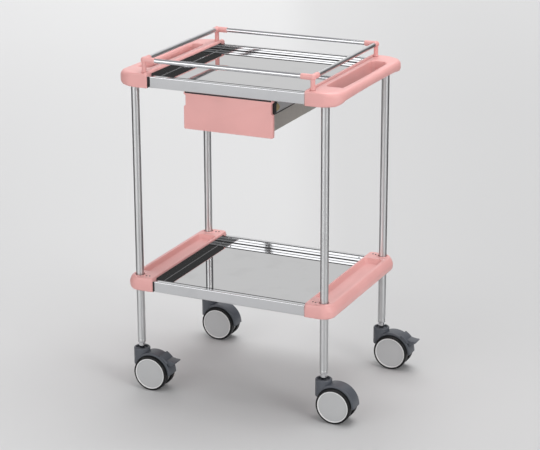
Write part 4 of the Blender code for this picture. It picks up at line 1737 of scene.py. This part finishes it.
    def wheel(self, face: Face) -> None:
        """Make one wheel: its tyre, its disc and the disc's rim, coloured pale as a painted highlight.

        Args:
            face: which of the two wheels.
        """
        body = f"wheel_{self.label}_{face.label}"
        name = f"{self.label}_{face.label}"
        r, seat = self.wheel_radius, self.tyre_seat
        tyre = [(seat, 0.0110), (r - 0.0022, 0.0110)]
        tyre += arc((r - 0.0022, 0.0132), 0.0022, 270, 360, 5)
        tyre += [(r, 0.0180), (r - 0.0004, 0.0184), (r, 0.0188)]
        tyre += arc((r - 0.0036, 0.0264), 0.0036, 0, 84, 9)
        tyre += [(seat + 0.0006, 0.0301), (seat, 0.0295)]
        for part, profile, finish, nodes in (("tyre", tyre, TREAD, ("tyre_" + name,)),
                                             ("disc", DISC_PROFILE, DISC, ("hub_" + name,)),
                                             ("rim", RIM_PROFILE, RIM_HIGHLIGHT, ())):
            solid = lathe([(radius, face.value * y) for radius, y in profile], 112, "y")
            mesh = solid.moved(self.x + self.trail, self.y, self.axle_z).mesh()
            piece(f"{part}_{name}_wheel", mesh, finish, body, nodes, 32)

    def lever(self) -> None:
        """Make the brake lever: a flap over the hood and its toe pedal."""
        section = self.band(self.hood_radius + 0.0006, self.hood_radius + 0.0056, self.hood_half_y - 0.0005,
                            0.0016)
        flap = self.swept(section, self.lever_sweep, 18).mesh()
        outline = [(self.trail + x, self.axle_z + z) for x, z in PEDAL_OUTLINE]
        toe = prism(outline, "y", -self.pedal_half_y, self.pedal_half_y)
        mesh = joined([flap, bevelled(toe.mesh(), 0.0012, 3)])
        mesh.transform(Matrix.Translation((self.x, self.y, 0)))
        node = "brake_lever_" + self.label
        piece("brake_pedal_" + self.label, mesh, HOUSING, "lever_" + self.label, (node,), 40)


@dataclass(frozen=True)
class Softbox:
    """A soft light, which the camera doesn't see.

    It has a place, the point that it faces, its width and height, its power in watts, and whether
    polished metal shows it.
    """

    name: str
    place: Place
    aim: Place
    width: float
    height: float
    power: float
    mirrored: bool = True

    def build(self) -> None:
        """Make the light."""
        data = bpy.data.lights.new(self.name, "AREA")
        data.shape = "RECTANGLE"
        data.size = self.width
        data.size_y = self.height
        data.energy = self.power
        light = placed(self.name, data)
        light.location = self.place
        light.visible_glossy = self.mirrored
        light.visible_camera = False
        light.rotation_euler = (Vector(self.aim) - Vector(self.place)).to_track_quat("-Z", "Y").to_euler()


LIGHTS = (
    Softbox("top_light", (0.5, 0.9, 4.5), (0.0, 0.0, 0.3), 3.0, 3.0, 104.0),
    Softbox("backdrop_light", (-3.2, 6.2, 5.5), (-3.4, 6.6, 0.0), 5.0, 5.0, 270.0, mirrored=False),
    Softbox("front_light", (-1.8, -4.8, 2.1), (0.0, 0.0, 0.9), 5.2, 3.0, 92.0),
    Softbox("side_light", (4.4, -1.2, 0.9), (0.0, 0.0, 0.6), 2.2, 2.2, 46.0, mirrored=False),
    Softbox("right_light", (4.0, -1.9, 2.3), (0.0, 0.0, 0.5), 1.2, 1.2, 32.0),
)
# Grey levels round the room, as shares of a turn: 0.5 is straight ahead and 0.75 is to the right.
ROOM_RING = [(0.0, 0.48), (0.03, 0.48), (0.08, 0.52), (0.20, 0.46), (0.26, 0.07), (0.39, 0.07),
             (0.415, 0.80), (0.585, 0.80), (0.61, 0.09), (0.74, 0.07), (0.80, 0.34), (0.86, 0.66),
             (0.92, 0.66), (0.97, 0.48)]
CEILING = (0.42, 0.42, 0.43)


@dataclass
class Studio:
    """The pale floor, the soft lights and the camera."""

    camera_place: Place = (1.9909, -4.2918, 1.9944)
    yaw: float = STUDIO_YAW
    pitch: float = 0.3149
    roll: float = -0.0036
    lens: float = 119.19
    floor_radius: float = 16.0
    floor_sides: int = 96
    backdrop: float = 0.80

    def build(self) -> None:
        """Make the floor, the camera, the surroundings and the lights."""
        self.floor()
        self.camera()
        self.surroundings()
        for light in LIGHTS:
            light.build()

    def floor(self) -> None:
        """Make the floor, a wide disc."""
        turns = [k * math.pi / (self.floor_sides // 2) for k in range(self.floor_sides)]
        disc = [(self.floor_radius * math.cos(a), self.floor_radius * math.sin(a), 0.0) for a in turns]
        mesh = bpy.data.meshes.new("floor")
        mesh.from_pydata(disc, [], [tuple(range(self.floor_sides))])
        mesh.materials.append(PAPER.material())
        floor = placed("floor", mesh)
        floor.location.z = CAD_BOX[0][2] - 0.0002

    def camera(self) -> None:
        """Make the camera at its place, turned by yaw, pitch and roll."""
        level = math.cos(self.pitch)
        look = Vector((-math.sin(self.yaw) * level, math.cos(self.yaw) * level, -math.sin(self.pitch)))
        right = Vector((math.cos(self.yaw), math.sin(self.yaw), 0.0))
        up = right.cross(look)
        c, s = math.cos(self.roll), math.sin(self.roll)
        side, top = c * right + s * up, c * up - s * right
        data = bpy.data.cameras.new("camera")
        data.lens = self.lens
        data.sensor_width = 36.0
        data.sensor_fit = "HORIZONTAL"
        camera = placed("camera", data)
        turn = Matrix((side, top, -look)).transposed().to_4x4()
        camera.matrix_world = Matrix.Translation(self.camera_place) @ turn
        bpy.context.scene.camera = camera

    def surroundings(self) -> None:
        """Make the room: a ring of grey levels under a ceiling, and a plain backdrop for the camera."""
        bpy.context.scene.view_settings.view_transform = "Standard"
        world = bpy.data.worlds.new("studio")
        world.use_nodes = True
        bpy.context.scene.world = world
        graph = SurfaceGraph(world.node_tree)
        ray = graph.node("ShaderNodeTexCoord").outputs["Generated"]
        ahead, right = graph.axes(ray, self.yaw)
        turn = right.math("ARCTAN2", right, ahead) / (2 * math.pi) + 0.5
        ring = graph.node("ShaderNodeValToRGB", {"stops": ROOM_RING}, {0: turn}).outputs[0]
        height = graph.along(ray, (0.0, 0.0, 1.0))
        room = graph.blend(height.step(0.38, 0.62), ring, CEILING)
        seen = graph.node("ShaderNodeLightPath").outputs["Is Camera Ray"]
        colour = graph.blend(seen, room, (self.backdrop, self.backdrop, self.backdrop))
        graph.feed(world.node_tree.nodes["Background"].inputs["Color"], colour)


def main() -> None:
    """Build the trolley's looks and the studio round it."""
    tubes, screws, crowns = tube_tree(), screw_tree(), crown_tree()
    Posts().build(tubes)
    UpperHandle().build()
    LowerTray().build(screws)
    Shelves().build(screws)
    GuardRail().build(tubes)
    Drawer().build(screws)
    for corner in Corner:
        Caster(corner).build(crowns)
    Studio().build()


if __name__ == "__main__":
    logging.basicConfig(level=logging.INFO, format="%(message)s")
    main()
